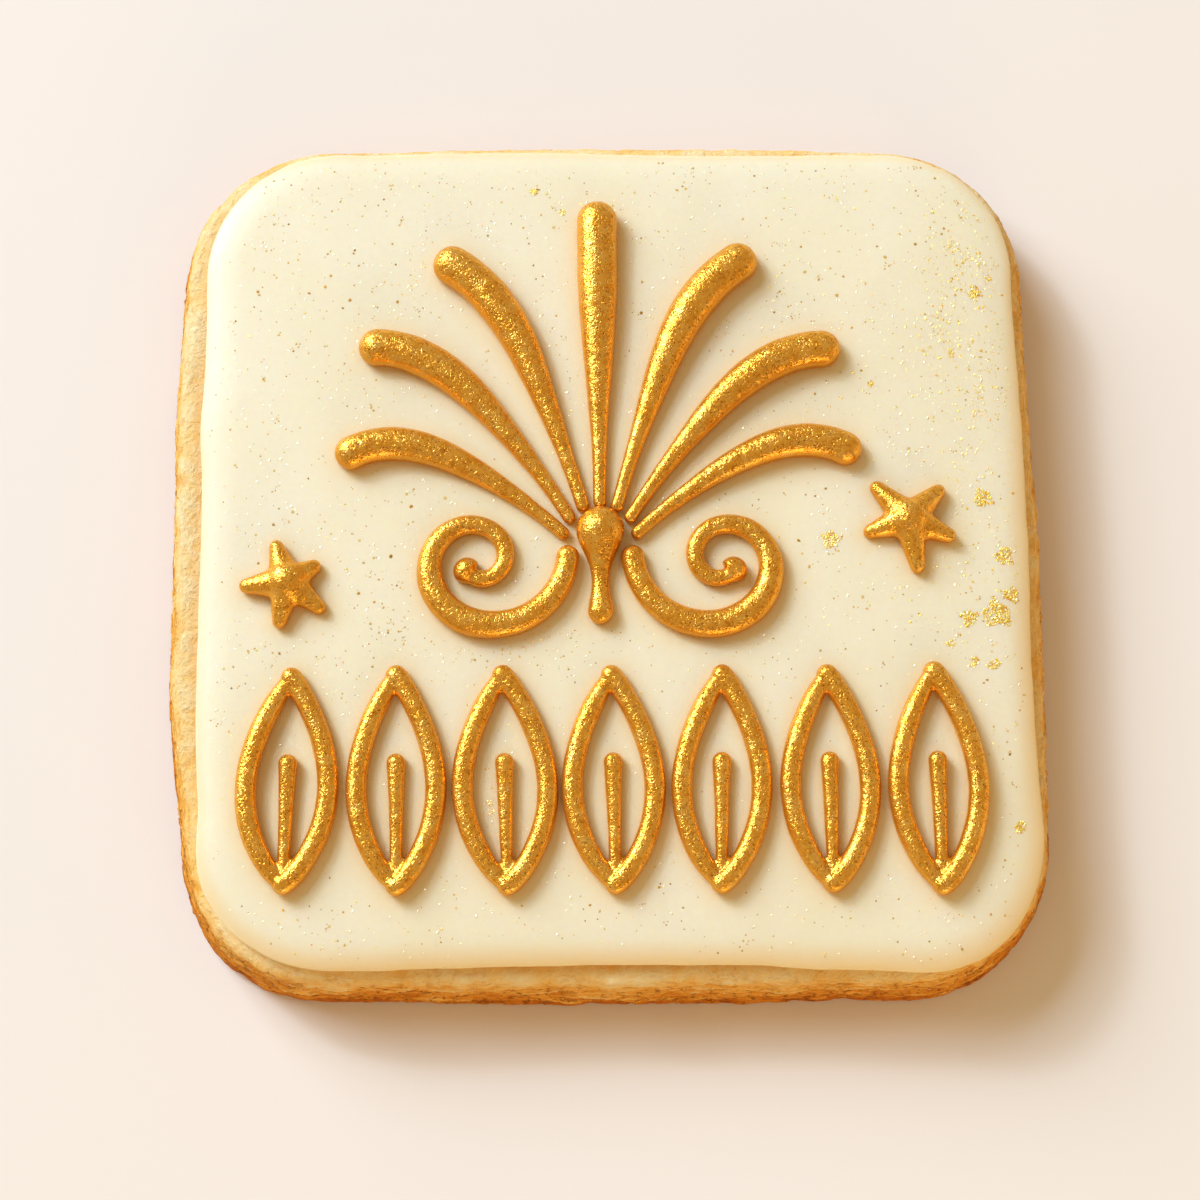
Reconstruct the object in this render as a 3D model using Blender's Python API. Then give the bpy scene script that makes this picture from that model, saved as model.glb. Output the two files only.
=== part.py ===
"""A square iced sugar cookie with piped gold ornament, modelled in metres with +Z up.

A baked biscuit lies flat on the table, with its ledged, crumbly wall in relief.  A pillow
of white icing covers its top to just short of the rim.  On the icing lies gold piping: a
fan of plumes over a boss and two scrolls, a row of leaves below it, and two small stars.
Every piece is one closed solid in its own object.
"""

import math
import random

import bpy
import numpy as np

MM = 0.001
GAP = 0.3 * MM
SMOOTH_ANGLE = math.radians(50)

# Biscuit: a rounded square of rolled dough, widest low down, with a rounded rim.
BISCUIT_HALF_X = 39.7 * MM
BISCUIT_HALF_Y = 40.1 * MM
BISCUIT_CORNER = 14.0 * MM
BISCUIT_THICK = 7.0 * MM
BISCUIT_SEGMENTS = 120
SIDE_BOW = 0.4 * MM
FAR_SIDE_PULL = 0.75 * MM
FOOT_INSET = 1.3 * MM
WALL_LOW = 0.12 * BISCUIT_THICK
WALL_HIGH = 0.84 * BISCUIT_THICK
WALL_TAPER = 1.0 * MM
RIM_HEIGHT = 0.96 * BISCUIT_THICK
RIM_INSET = 1.7 * MM
TOP_INSET = 2.8 * MM
LAYERS = 5
LAYER_LEDGE = 0.2 * MM
CRAG_DEPTH = 0.2 * MM
BROAD_CRAGS = (5, 24)
FINE_CRAGS = (9, 34)

# Icing: a pillow with a wide round shoulder and a bellied, slightly wavy edge.
ICING_HALF_X = 37.25 * MM
ICING_HALF_Y = 37.7 * MM
ICING_CORNER = 12.0 * MM
ICING_SEGMENTS = 96
ICING_SHIFT = (0.55 * MM, -0.2 * MM)
ICING_THICK = 1.9 * MM
ICING_SHOULDER = 3.4 * MM
SHOULDER_STEPS = 6
ICING_TUCK = 0.55 * MM
BELLY_HEIGHT = 0.38 * ICING_THICK
ICING_WAVE = 0.28 * MM
EDGE_WAVES = (3, 11)
ICING_BASE_Z = BISCUIT_THICK + GAP
ICING_TOP_Z = ICING_BASE_Z + ICING_THICK

# Bulges and dents of the outlines, in millimetres: each a place, a width, and how far it
# pushes the outline out.
BISCUIT_BULGES = ((-38.5, -28.5, 9.5, -1.1), (39.8, 17.0, 14.0, -0.4), (-39.5, 13.0, 4.5, 0.35),
                  (30.0, -38.5, 8.0, 0.35))
ICING_BULGES = ((32.0, -36.5, 7.5, 1.2), (19.5, -37.7, 5.5, 0.5), (-3.0, -38.0, 8.0, -0.4),
                (-22.0, -37.7, 7.0, 0.5), (-36.8, -25.0, 5.0, -0.55), (37.5, 24.0, 9.0, -0.45),
                (-36.6, 10.8, 4.0, 0.4))

# Gold piping: strokes of oval section, cut level just above the icing.
PIPING_BASE_Z = ICING_TOP_Z + GAP
PIPING_LIFT = 0.28
PIPING_FLATNESS = 0.82
SECTION_SIDES = 8
END_DOME_TURNS = (32, 65)
TRACE_STEPS = 240

# Fan: plumes that spring from round the boss, outer ones shorter and slimmer.
FAN_X = -0.8 * MM
FAN_Y = 0.0
FAN_FOOT_RADIUS = 3.4 * MM
PLUMES_EACH_SIDE = 3
PLUME_RINGS = 11
PLUME_LENGTH = 26.7 * MM
PLUME_SHORTER = 0.58 * MM
PLUME_HEAD = 1.85 * MM
PLUME_SLIMMER = 0.035 * MM
PLUME_TAIL = 0.6 * MM
PLUME_HEAD_AT = 0.86
FOOT_SPREAD = 27.0
TAIL_SPREAD = 16.0
HEAD_SPREAD = 25.0
HOOK_FROM = 0.45
PLUME_HOOK = 28.0
HOOK_MORE = 5.0
PLUME_SWAY = 1.5

# Boss and drop: a fat bead that narrows to a waist and ends in a small bead.
BOSS_RINGS = 9
BOSS_TOP = 0.7 * MM
BOSS_RADIUS = 2.15 * MM
BOSS_SHARE = 0.34
DROP_LENGTH = 7.4 * MM
DROP_WAIST = 0.75 * MM
DROP_END = 1.15 * MM
DROP_END_SHARE = 0.2

# Scrolls: down from the boss, out under the fan and round into a curl.
SCROLL_RINGS = 36
SCROLL_START = (2.9 * MM, -1.7 * MM)
SCROLL_HEADING = 175
SWING_RADIUS = 6.8 * MM
SWING_TURN = 85
CURL_RADIUS = 6.2 * MM
CURL_EYE = 1.5 * MM
CURL_TURN = 415
SCROLL_LINE = 1.0 * MM
SCROLL_END_LINE = 0.75 * MM
SCROLL_SWELL = 0.35 * MM
SWELL_AT = 0.24
SWELL_SHARE = 0.17
SCROLL_EYE_BEAD = 1.25 * MM
EYE_BEAD_FROM = 0.95

# Row of leaves: two bowed sides that meet at each end, and a rib from the foot.
LEAVES = 7
LEAF_RINGS = 12
RIB_RINGS = 6
LEAF_PITCH = 9.5 * MM
LEAF_ROW = (0.2 * MM, -21.7 * MM)
LEAF_WIDTH = 7.2 * MM
LEAF_HEIGHT = 18.4 * MM
LEAF_LINE = 0.95 * MM
LEAF_FULLNESS = 0.85
LEAF_WIDEST = 0.88
LEAF_LEAN = 0.5 * MM
LEAF_VARIES = 0.25 * MM
SECOND_SIDE_TRIM = 0.03
SECOND_SIDE_THINNER = 0.25
RIB_SHARE = 0.58
RIB_FOOT = 0.55 * MM
RIB_HEAD = 0.85 * MM

# Stars: a round core with five arms.  A star is its centre and, for each arm, the direction
# in degrees from +X and the reach, in millimetres.
STAR_CORE = 1.9 * MM
CORE_LENGTH = 0.2 * MM
ARM_RINGS = 5
ARM_ROOT = 1.7 * MM
ARM_TIP = 0.7 * MM
STAR_LEFT = {"centre": (-28.65, -3.9),
             "arms": ((108, 4.1), (31, 3.4), (-39, 4.3), (-100, 4.3), (185, 4.35))}
STAR_RIGHT = {"centre": (26.9, 1.7),
              "arms": ((133, 4.7), (43, 4.5), (-23, 4.6), (-81, 5.1), (198, 4.3))}

CUTTER_HALF = 60 * MM
CUTTER_DEPTH = 10 * MM


def clear_scene():
    """Remove whatever objects the open file holds."""
    for thing in list(bpy.data.objects):
        bpy.data.objects.remove(thing, do_unlink=True)


def make_material(name, colour, roughness, metallic=0.0):
    material = bpy.data.materials.new(name)
    material.use_nodes = True
    shader = material.node_tree.nodes["Principled BSDF"]
    shader.inputs["Base Color"].default_value = (*colour, 1.0)
    shader.inputs["Roughness"].default_value = roughness
    shader.inputs["Metallic"].default_value = metallic
    return material


def shade(mesh):
    mesh.shade_smooth()
    mesh.set_sharp_from_angle(angle=SMOOTH_ANGLE)


def add_object(name, points, faces, material):
    """One object from its points and faces, shaded smooth except at hard edges."""
    mesh = bpy.data.meshes.new(name)
    mesh.from_pydata(np.asarray(points).tolist(), [], faces)
    mesh.update()
    shade(mesh)
    mesh.materials.append(material)
    thing = bpy.data.objects.new(name, mesh)
    bpy.context.scene.collection.objects.link(thing)
    return thing


def rounded_square(half_x, half_y, corner, count):
    """Evenly spaced points round a rounded square, anticlockwise from the lower right.

    Each quarter is a straight side and the quarter circle after it, drawn finely in its
    own frame, with x outwards, and turned into place.  With the points come their outward
    normals and how far along its side each lies, from -1 to 1, for the bow of the sides.
    """
    outline = []
    for quarter in range(4):
        out, far = (half_x, half_y) if quarter % 2 == 0 else (half_y, half_x)
        side = np.linspace(corner - far, far - corner, TRACE_STEPS)
        arc = np.linspace(0, math.pi / 2, TRACE_STEPS)[1:-1]
        x = np.concatenate([np.full(len(side), out), out - corner + corner * np.cos(arc)])
        y = np.concatenate([side, far - corner + corner * np.sin(arc)])
        normal_x = np.concatenate([np.ones(len(side)), np.cos(arc)])
        normal_y = np.concatenate([np.zeros(len(side)), np.sin(arc)])
        along = np.concatenate([side / (far - corner), np.ones(len(arc))])
        turn = quarter * math.pi / 2
        cos, sin = math.cos(turn), math.sin(turn)
        outline.append(np.column_stack([
            x * cos - y * sin, x * sin + y * cos,
            normal_x * cos - normal_y * sin, normal_x * sin + normal_y * cos, along]))
    outline = np.concatenate(outline)
    outline = np.vstack([outline, outline[:1]])
    steps = np.linalg.norm(np.diff(outline[:, :2], axis=0), axis=1)
    walked = np.concatenate([[0.0], np.cumsum(steps)])
    even = np.linspace(0, walked[-1], count, endpoint=False)
    columns = [np.interp(even, walked, column) for column in outline.T]
    return np.column_stack(columns[:2]), np.column_stack(columns[2:4]), columns[4]


def ripple(count, waves, seed):
    """A seeded sum of sine waves round a loop, scaled to reach 1 or -1."""
    rng = random.Random(seed)
    turn = np.linspace(0, 2 * math.pi, count, endpoint=False)
    total = np.zeros(count)
    for wave in range(waves[0], waves[1] + 1):
        weight = rng.uniform(0.4, 1.0)
        phase = rng.uniform(0, 2 * math.pi)
        total += weight * np.sin(wave * turn + phase)
    return total / np.abs(total).max()


def bulging(points, bulges):
    """How far an outline is pushed out at each point: the sum of a bell round each bulge."""
    push = np.zeros(len(points))
    for x, y, width, size in bulges:
        away = np.hypot(points[:, 0] / MM - x, points[:, 1] / MM - y)
        push += size * MM * np.exp(-(away / width) ** 2)
    return push


def stack_of_rings(rings):
    """Points and faces of a closed body from rings of equal count, lowest first."""
    count = len(rings[0])
    faces = [list(range(count - 1, -1, -1))]
    for level in range(len(rings) - 1):
        low = level * count
        for index in range(count):
            after = (index + 1) % count
            faces.append([low + index, low + after, low + count + after, low + count + index])
    top = (len(rings) - 1) * count
    faces.append(list(range(top, top + count)))
    return np.concatenate(rings), faces


def ring_at(points, normals, offset, height):
    """A level ring: the outline moved outwards by the offset."""
    moved = points + normals * np.reshape(offset, (-1, 1))
    return np.column_stack([moved, np.full(len(moved), height)])


def make_biscuit(material):
    """The biscuit: flat underside, wall of ledged crumbly layers, round rim and flat top."""
    points, normals, along = rounded_square(
        BISCUIT_HALF_X, BISCUIT_HALF_Y, BISCUIT_CORNER, BISCUIT_SEGMENTS)
    far_side = np.clip((points[:, 1] / MM - 20) / 20, 0, 1)
    points = points + normals * bulging(points, BISCUIT_BULGES)[:, None]
    points[:, 1] -= FAR_SIDE_PULL * far_side ** 2 * (3 - 2 * far_side)
    bow = SIDE_BOW * (1 - along ** 2)
    broad = CRAG_DEPTH * ripple(BISCUIT_SEGMENTS, BROAD_CRAGS, seed=3)
    rings = [ring_at(points, normals, bow - FOOT_INSET, 0.0)]
    for layer in range(LAYERS):
        share = layer / (LAYERS - 1)
        height = WALL_LOW + (WALL_HIGH - WALL_LOW) * share
        ledge = LAYER_LEDGE if layer % 2 == 0 else -LAYER_LEDGE
        fine = CRAG_DEPTH * ripple(BISCUIT_SEGMENTS, FINE_CRAGS, seed=20 + layer)
        rings.append(ring_at(points, normals, bow + broad + fine + ledge - WALL_TAPER * share, height))
    rings.append(ring_at(points, normals, bow + broad - RIM_INSET, RIM_HEIGHT))
    rings.append(ring_at(points, normals, bow - TOP_INSET, BISCUIT_THICK))
    return add_object("cookie", *stack_of_rings(rings), material)


def make_icing(material):
    """The icing: a level top that rolls over a quarter oval to a bellied, wavy edge."""
    points, normals, _ = rounded_square(ICING_HALF_X, ICING_HALF_Y, ICING_CORNER, ICING_SEGMENTS)
    points = points + np.array(ICING_SHIFT)
    wave = ICING_WAVE * ripple(ICING_SEGMENTS, EDGE_WAVES, seed=8) + bulging(points, ICING_BULGES)
    rings = [ring_at(points, normals, wave - ICING_TUCK, ICING_BASE_Z)]
    for step in range(SHOULDER_STEPS):
        angle = math.pi / 2 * step / (SHOULDER_STEPS - 1)
        offset = wave * math.cos(angle) - ICING_SHOULDER * (1 - math.cos(angle))
        height = ICING_BASE_Z + BELLY_HEIGHT + (ICING_THICK - BELLY_HEIGHT) * math.sin(angle)
        rings.append(ring_at(points, normals, offset, height))
    return add_object("icing", *stack_of_rings(rings), material)


def walk(start, headings, steps):
    """A path from its headings, in degrees clockwise from +Y, and the length of each step."""
    turned = np.radians(headings)
    middle = (turned[1:] + turned[:-1]) / 2
    east = np.concatenate([[0.0], np.cumsum(np.sin(middle) * steps)])
    north = np.concatenate([[0.0], np.cumsum(np.cos(middle) * steps)])
    return np.column_stack([start[0] + east, start[1] + north])


def thin_out(path, radii, rings):
    """Keep an even choice of the points of a finely walked path."""
    chosen = np.linspace(0, len(path) - 1, rings).round().astype(int)
    return path[chosen], radii[chosen]


def stroke_body(path, radii):
    """Points and faces of a piped stroke: an oval tube along the path with domed ends."""
    tangents = np.gradient(path, axis=0)
    tangents /= np.linalg.norm(tangents, axis=1)[:, None]
    rings = [(centre, tangent, radius, radius) for centre, tangent, radius in zip(path, tangents, radii)]
    for turn in np.radians(END_DOME_TURNS):
        out, slim = math.sin(turn), math.cos(turn)
        rings.insert(0, (path[0] - tangents[0] * radii[0] * out, tangents[0], radii[0] * slim, radii[0]))
        rings.append((path[-1] + tangents[-1] * radii[-1] * out, tangents[-1], radii[-1] * slim, radii[-1]))

    points = []
    for centre, tangent, radius, full in rings:
        for side in range(SECTION_SIDES):
            angle = 2 * math.pi * side / SECTION_SIDES
            across = radius * math.cos(angle)
            height = PIPING_BASE_Z + PIPING_LIFT * full + PIPING_FLATNESS * radius * math.sin(angle)
            points.append((centre[0] + tangent[1] * across, centre[1] - tangent[0] * across, height))
    first_tip = len(points)
    last_tip = first_tip + 1
    points.append((*(path[0] - tangents[0] * radii[0]), PIPING_BASE_Z + PIPING_LIFT * radii[0]))
    points.append((*(path[-1] + tangents[-1] * radii[-1]), PIPING_BASE_Z + PIPING_LIFT * radii[-1]))

    faces = []
    last = (len(rings) - 1) * SECTION_SIDES
    for side in range(SECTION_SIDES):
        after = (side + 1) % SECTION_SIDES
        faces.append([first_tip, side, after])
        faces.append([last_tip, last + after, last + side])
        for low in range(0, last, SECTION_SIDES):
            high = low + SECTION_SIDES
            faces.append([low + after, low + side, high + side, high + after])
    return points, faces


def apply_boolean(thing, operation, operand):
    """Join a collection to the object, or cut another object from it, and keep the result."""
    modifier = thing.modifiers.new(operation.title(), "BOOLEAN")
    modifier.operation = operation
    modifier.solver = "EXACT"
    if operation == "UNION":
        modifier.operand_type = "COLLECTION"
        modifier.collection = operand
    else:
        modifier.object = operand
    graph = bpy.context.evaluated_depsgraph_get()
    result = bpy.data.meshes.new_from_object(thing.evaluated_get(graph))
    thing.modifiers.clear()
    thing.data = result


def make_cutter():
    """A slab that fills the space below the piping's base."""
    corners = np.array([(-1, -1), (1, -1), (1, 1), (-1, 1)]) * CUTTER_HALF
    rings = [np.column_stack([corners, np.full(4, PIPING_BASE_Z - depth)]) for depth in (CUTTER_DEPTH, 0)]
    cutter = add_object("piping_cutter", *stack_of_rings(rings), make_material("cutter", (1, 0, 0), 0.5))
    cutter.hide_render = True
    cutter.display_type = "WIRE"
    return cutter


def make_piping(name, strokes, cutter, material):
    """One gold piece: its strokes joined, and cut level above the icing."""
    piece = add_object(name, *stroke_body(*strokes[0]), material)
    if len(strokes) > 1:
        group = bpy.data.collections.new("strokes")
        bpy.context.scene.collection.children.link(group)
        for stroke in strokes[1:]:
            extra = add_object("stroke", *stroke_body(*stroke), material)
            bpy.context.scene.collection.objects.unlink(extra)
            group.objects.link(extra)
        apply_boolean(piece, "UNION", group)
        for extra in list(group.objects):
            bpy.data.objects.remove(extra, do_unlink=True)
        bpy.data.collections.remove(group)
    apply_boolean(piece, "DIFFERENCE", cutter)
    shade(piece.data)
    return piece


def plume_stroke(place):
    """One plume: a thin tail that swells into a round head and hooks away from the middle.

    The place runs from -3 at the left to 3 at the right, with 0 upright in the middle.
    """
    rng = random.Random(40 + place)
    share = np.linspace(0, 1, TRACE_STEPS)
    steps_out = abs(place)
    hook = PLUME_HOOK + HOOK_MORE * steps_out
    late = np.clip((share - HOOK_FROM) / (1 - HOOK_FROM), 0, 1)
    headings = TAIL_SPREAD * place + (HEAD_SPREAD - TAIL_SPREAD) * place * share
    headings = headings + np.sign(place) * hook * late ** 2 + rng.uniform(-PLUME_SWAY, PLUME_SWAY)
    foot_turn = math.radians(FOOT_SPREAD * place)
    start = (FAN_X + FAN_FOOT_RADIUS * math.sin(foot_turn), FAN_Y + FAN_FOOT_RADIUS * math.cos(foot_turn))
    length = PLUME_LENGTH - PLUME_SHORTER * steps_out ** 2
    head = PLUME_HEAD - PLUME_SLIMMER * steps_out ** 2
    swell = np.sin(np.clip(share / PLUME_HEAD_AT, 0, 1) * math.pi / 2) ** 2.2
    radii = PLUME_TAIL + (head - PLUME_TAIL) * swell
    return walk(start, headings, length / (TRACE_STEPS - 1)), radii


def boss_stroke():
    """The boss and its drop, as one upright stroke from the top down."""
    share = np.linspace(0, 1, TRACE_STEPS)
    path = np.column_stack([np.full(TRACE_STEPS, FAN_X), FAN_Y + BOSS_TOP - DROP_LENGTH * share])
    bead = (BOSS_RADIUS - DROP_WAIST) * np.exp(-(share / BOSS_SHARE) ** 2)
    end = (DROP_END - DROP_WAIST) * np.exp(-((share - 1) / DROP_END_SHARE) ** 2)
    return path, DROP_WAIST + bead + end


def scroll_stroke(side):
    """One scroll, to the right for side 1 and to the left for side -1.

    Its bend keeps one radius through the swing, and then tightens evenly, by the same
    ratio for each degree of turn, down to the eye of the curl.
    """
    share = np.linspace(0, 1, 2 * TRACE_STEPS)
    turn = share * (SWING_TURN + CURL_TURN)
    into_curl = np.clip((turn - SWING_TURN) / CURL_TURN, 0, 1)
    curl = CURL_RADIUS * (CURL_EYE / CURL_RADIUS) ** into_curl
    bend = np.where(turn < SWING_TURN, SWING_RADIUS, curl)
    steps = (bend[1:] + bend[:-1]) / 2 * np.diff(np.radians(turn))
    path = walk(SCROLL_START, SCROLL_HEADING - turn, steps)
    path = np.column_stack([FAN_X + side * path[:, 0], FAN_Y + path[:, 1]])
    radii = SCROLL_LINE + (SCROLL_END_LINE - SCROLL_LINE) * share
    radii += SCROLL_SWELL * np.exp(-((share - SWELL_AT) / SWELL_SHARE) ** 2)
    radii += (SCROLL_EYE_BEAD - radii[-1]) * np.clip((share - EYE_BEAD_FROM) / (1 - EYE_BEAD_FROM), 0, 1)
    return path, radii


def leaf_strokes(index):
    """One leaf of the row, counted from the left, with a slight lean of its own."""
    rng = random.Random(70 + index)
    share = np.linspace(0, 1, TRACE_STEPS)
    centre_x = LEAF_ROW[0] + (index - (LEAVES - 1) / 2) * LEAF_PITCH
    lean = rng.uniform(-LEAF_LEAN, LEAF_LEAN)
    height = LEAF_HEIGHT + rng.uniform(-2, 2) * LEAF_VARIES
    width = LEAF_WIDTH + rng.uniform(-1, 1) * LEAF_VARIES
    foot = LEAF_ROW[1] - height / 2
    strokes = []
    for side, trim, thinner in ((1, 0.0, 0.0), (-1, SECOND_SIDE_TRIM, SECOND_SIDE_THINNER)):
        climb = trim + (1 - 2 * trim) * share
        bow = side * width / 2 * np.sin(math.pi * climb ** LEAF_WIDEST) ** LEAF_FULLNESS
        path = np.column_stack([centre_x + bow + lean * (climb - 0.5), foot + height * climb])
        radii = LEAF_LINE * (1 - thinner * np.abs(2 * share - 1) ** 6)
        strokes.append(thin_out(path, radii, LEAF_RINGS))
    climb = RIB_SHARE * share
    rib = np.column_stack([centre_x + lean * (climb - 0.5), foot + height * climb])
    strokes.append(thin_out(rib, RIB_FOOT + (RIB_HEAD - RIB_FOOT) * share ** 2, RIB_RINGS))
    return strokes


def star_strokes(centre, arms):
    """One star: a round core, and arms of the given direction and reach that narrow to soft tips."""
    middle = np.array(centre) * MM
    core = np.array([middle, middle + (CORE_LENGTH, 0)])
    strokes = [(core, np.full(2, STAR_CORE))]
    share = np.linspace(0, 1, ARM_RINGS)
    for turn, reach in arms:
        direction = np.array([math.cos(math.radians(turn)), math.sin(math.radians(turn))])
        path = middle + np.outer(share * (reach * MM - ARM_TIP), direction)
        strokes.append((path, ARM_ROOT + (ARM_TIP - ARM_ROOT) * share ** 0.8))
    return strokes


def main():
    clear_scene()
    baked = make_material("biscuit", (0.78, 0.52, 0.23), 0.85)
    iced = make_material("icing", (0.90, 0.83, 0.67), 0.4)
    gilded = make_material("gold_icing", (0.80, 0.52, 0.13), 0.32, metallic=1.0)
    make_biscuit(baked)
    make_icing(iced)
    cutter = make_cutter()
    for number in range(2 * PLUMES_EACH_SIDE + 1):
        plume = thin_out(*plume_stroke(number - PLUMES_EACH_SIDE), PLUME_RINGS)
        make_piping(f"plume_{number + 1}", [plume], cutter, gilded)
    make_piping("boss", [thin_out(*boss_stroke(), BOSS_RINGS)], cutter, gilded)
    make_piping("scroll_left", [thin_out(*scroll_stroke(-1), SCROLL_RINGS)], cutter, gilded)
    make_piping("scroll_right", [thin_out(*scroll_stroke(1), SCROLL_RINGS)], cutter, gilded)
    for index in range(LEAVES):
        make_piping(f"leaf_{index + 1}", leaf_strokes(index), cutter, gilded)
    make_piping("star_left", star_strokes(**STAR_LEFT), cutter, gilded)
    make_piping("star_right", star_strokes(**STAR_RIGHT), cutter, gilded)


main()
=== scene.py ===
"""The looks of a square iced sugar cookie with piped gold ornament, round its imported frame.

Every surface is worked out in millimetres, as a function on a grid or as a section carried
along a path, and is scaled to metres when its mesh is made.  +Z is up and the cookie lies on
the floor at z = 0.  The biscuit, the icing and each gold piece replace their plain solids and
repeat their named sizes; the sugar grains, specks, sparkles, gold dust and gold leaf are
added on top.  The last number given to a noise or to crumbs is its seed.
"""

import math
import random

import bpy
import numpy as np
from mathutils import Matrix, Vector


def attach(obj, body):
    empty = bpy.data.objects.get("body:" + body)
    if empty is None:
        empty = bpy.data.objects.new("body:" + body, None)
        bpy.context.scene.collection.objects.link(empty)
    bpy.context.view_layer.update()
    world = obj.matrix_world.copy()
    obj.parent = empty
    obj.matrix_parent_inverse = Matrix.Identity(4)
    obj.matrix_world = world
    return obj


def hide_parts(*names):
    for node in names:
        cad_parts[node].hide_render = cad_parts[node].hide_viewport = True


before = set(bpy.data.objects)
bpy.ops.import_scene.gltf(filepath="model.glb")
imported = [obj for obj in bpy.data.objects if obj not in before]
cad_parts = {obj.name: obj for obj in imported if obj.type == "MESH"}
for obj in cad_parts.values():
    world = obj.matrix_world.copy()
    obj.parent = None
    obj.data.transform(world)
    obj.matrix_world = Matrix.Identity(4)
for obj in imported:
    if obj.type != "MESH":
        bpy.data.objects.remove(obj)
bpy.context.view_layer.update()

MM = 0.001

# Biscuit: a rounded square of rolled dough with a slanted, flaky wall and a rounded rim.
BISCUIT_HALF = (39.7, 40.1)
BISCUIT_CORNER = 14.0
BISCUIT_THICK = 7.0
BISCUIT_COLUMNS = 1420
SIDE_BOW = 0.4
FAR_SIDE_PULL = 0.75
FOOT_INSET = 1.3
FOOT_HEIGHT = 0.84
WALL_TAPER = 1.0
WALL_TOP = 6.1
SHELF_INSET = 2.3
UNDER_INSET = 8.0
FOOT_RINGS = 8
WALL_RINGS = 42
OVER_RINGS = 13
FLAKE_SIZE = (4.2, 4.2, 0.60)
FLAKE_LEAN = 0.30
SLIT_DEPTH = 0.24
FOOT_RIM_TOP = 1.45
LUMP_HEIGHT = 0.10
CRUMB_HEIGHT = 0.06
CRACK_DEPTH = 0.10
PIT_DEPTH = 0.12
GROOVE_DEPTH = 0.06
BROWNING_HEIGHTS = (0.0, 1.1, 1.7, 3.4, WALL_TOP, BISCUIT_THICK)
BROWNING = (1.0, 0.94, 0.80, 0.70, 0.46, 0.10)
SUGAR_GRAINS = 420
GRAIN_SIZE = 0.09

# Bulges and dents of the outlines: each a place, a width, and how far it pushes out.
BISCUIT_BULGES = ((-38.5, -28.5, 9.5, -1.1), (39.8, 17.0, 14.0, -0.4), (-39.5, 13.0, 4.5, 0.35),
                  (30.0, -38.5, 8.0, 0.35))
ICING_BULGES = ((32.0, -36.5, 7.5, 1.2), (19.5, -37.7, 5.5, 0.5), (-3.0, -38.0, 8.0, -0.4),
                (-22.0, -37.7, 7.0, 0.5), (-36.8, -25.0, 5.0, -0.55), (37.5, 24.0, 9.0, -0.45),
                (-36.6, 10.8, 4.0, 0.4))

# Icing: a pillow with a wide round shoulder and a slightly wavy, tucked edge.
ICING_HALF = (37.25, 37.7)
ICING_CORNER = 12.0
ICING_COLUMNS = 760
ICING_SHIFT = (0.55, -0.2)
ICING_TOP = 9.2
ICING_BELLY = 8.02
ICING_FOOT = 6.93
ICING_TUCK = 0.75
ICING_SHOULDER = 3.4
ICING_CROWN = 0.6
CROWN_REACH = 18.0
RISE_BY_GOLD = 0.05
ICING_WAVE = 0.28
WAVE_POINTS = 96
WAVE_COUNTS = (3, 11)
NICK = (33.4, -36.2)
NICK_WIDTH = 0.45
NICK_DEPTH = 0.5
OFFSET_REACH = 9.0
TUCK_RINGS = 10
SHOULDER_RINGS = 25
RIM_RINGS = 14
MIDDLE_RINGS = 73
LAST_RING = 0.012

# Gold piping: the strokes of the solids, with their base sunk into the icing.  Its lumps and
# its grain have a coarse and a fine height.
PIPING_BASE = 9.5
PIPING_FOOT = 8.8
PIPING_LIFT = 0.28
PIPING_FLATNESS = 0.82
TRACE_STEPS = 240
RING_SPACING = 0.11
SECTION_SIDES = 80
DOME_RINGS = 16
FUSE_VOXEL = 0.125
GOLD_LUMPS = (0.030, 0.012)
GOLD_GRAIN = (0.011, 0.007)
GOLD_PIT = 0.038
GOLD_PIT_SPACING = 0.62

FAN = (-0.8, 0.0)
FAN_FOOT_RADIUS = 3.4
PLUMES_EACH_SIDE = 3
PLUME_LENGTH = 26.7
PLUME_SHORTER = 0.58
PLUME_HEAD = 1.85
PLUME_SLIMMER = 0.035
PLUME_TAIL = 0.6
PLUME_HEAD_AT = 0.86
FOOT_SPREAD = 27.0
TAIL_SPREAD = 16.0
HEAD_SPREAD = 25.0
HOOK_FROM = 0.45
PLUME_HOOK = 28.0
HOOK_MORE = 5.0
PLUME_SWAY = 1.5

BOSS_TOP = 0.7
BOSS_RADIUS = 2.15
BOSS_SHARE = 0.34
DROP_LENGTH = 7.4
DROP_WAIST = 0.75
DROP_END = 1.15
DROP_END_SHARE = 0.2

SCROLL_START = (2.9, -1.7)
SCROLL_HEADING = 175
SWING_RADIUS = 6.8
SWING_TURN = 85
CURL_RADIUS = 6.2
CURL_EYE = 1.5
CURL_TURN = 415
SCROLL_LINE = 1.0
SCROLL_END_LINE = 0.75
SCROLL_SWELL = 0.35
SWELL_AT = 0.24
SWELL_SHARE = 0.17
SCROLL_EYE_BEAD = 1.25
EYE_BEAD_FROM = 0.95

LEAVES = 7
LEAF_PITCH = 9.5
LEAF_ROW = (0.2, -21.7)
LEAF_WIDTH = 7.2
LEAF_HEIGHT = 18.4
LEAF_LINE = 0.95
LEAF_FULLNESS = 0.85
LEAF_WIDEST = 0.88
LEAF_LEAN = 0.5
LEAF_VARIES = 0.25
SECOND_SIDE_TRIM = 0.03
SECOND_SIDE_THINNER = 0.25
RIB_SHARE = 0.58
RIB_FOOT = 0.55
RIB_HEAD = 0.85
LEAF_RELAX = 5

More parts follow.
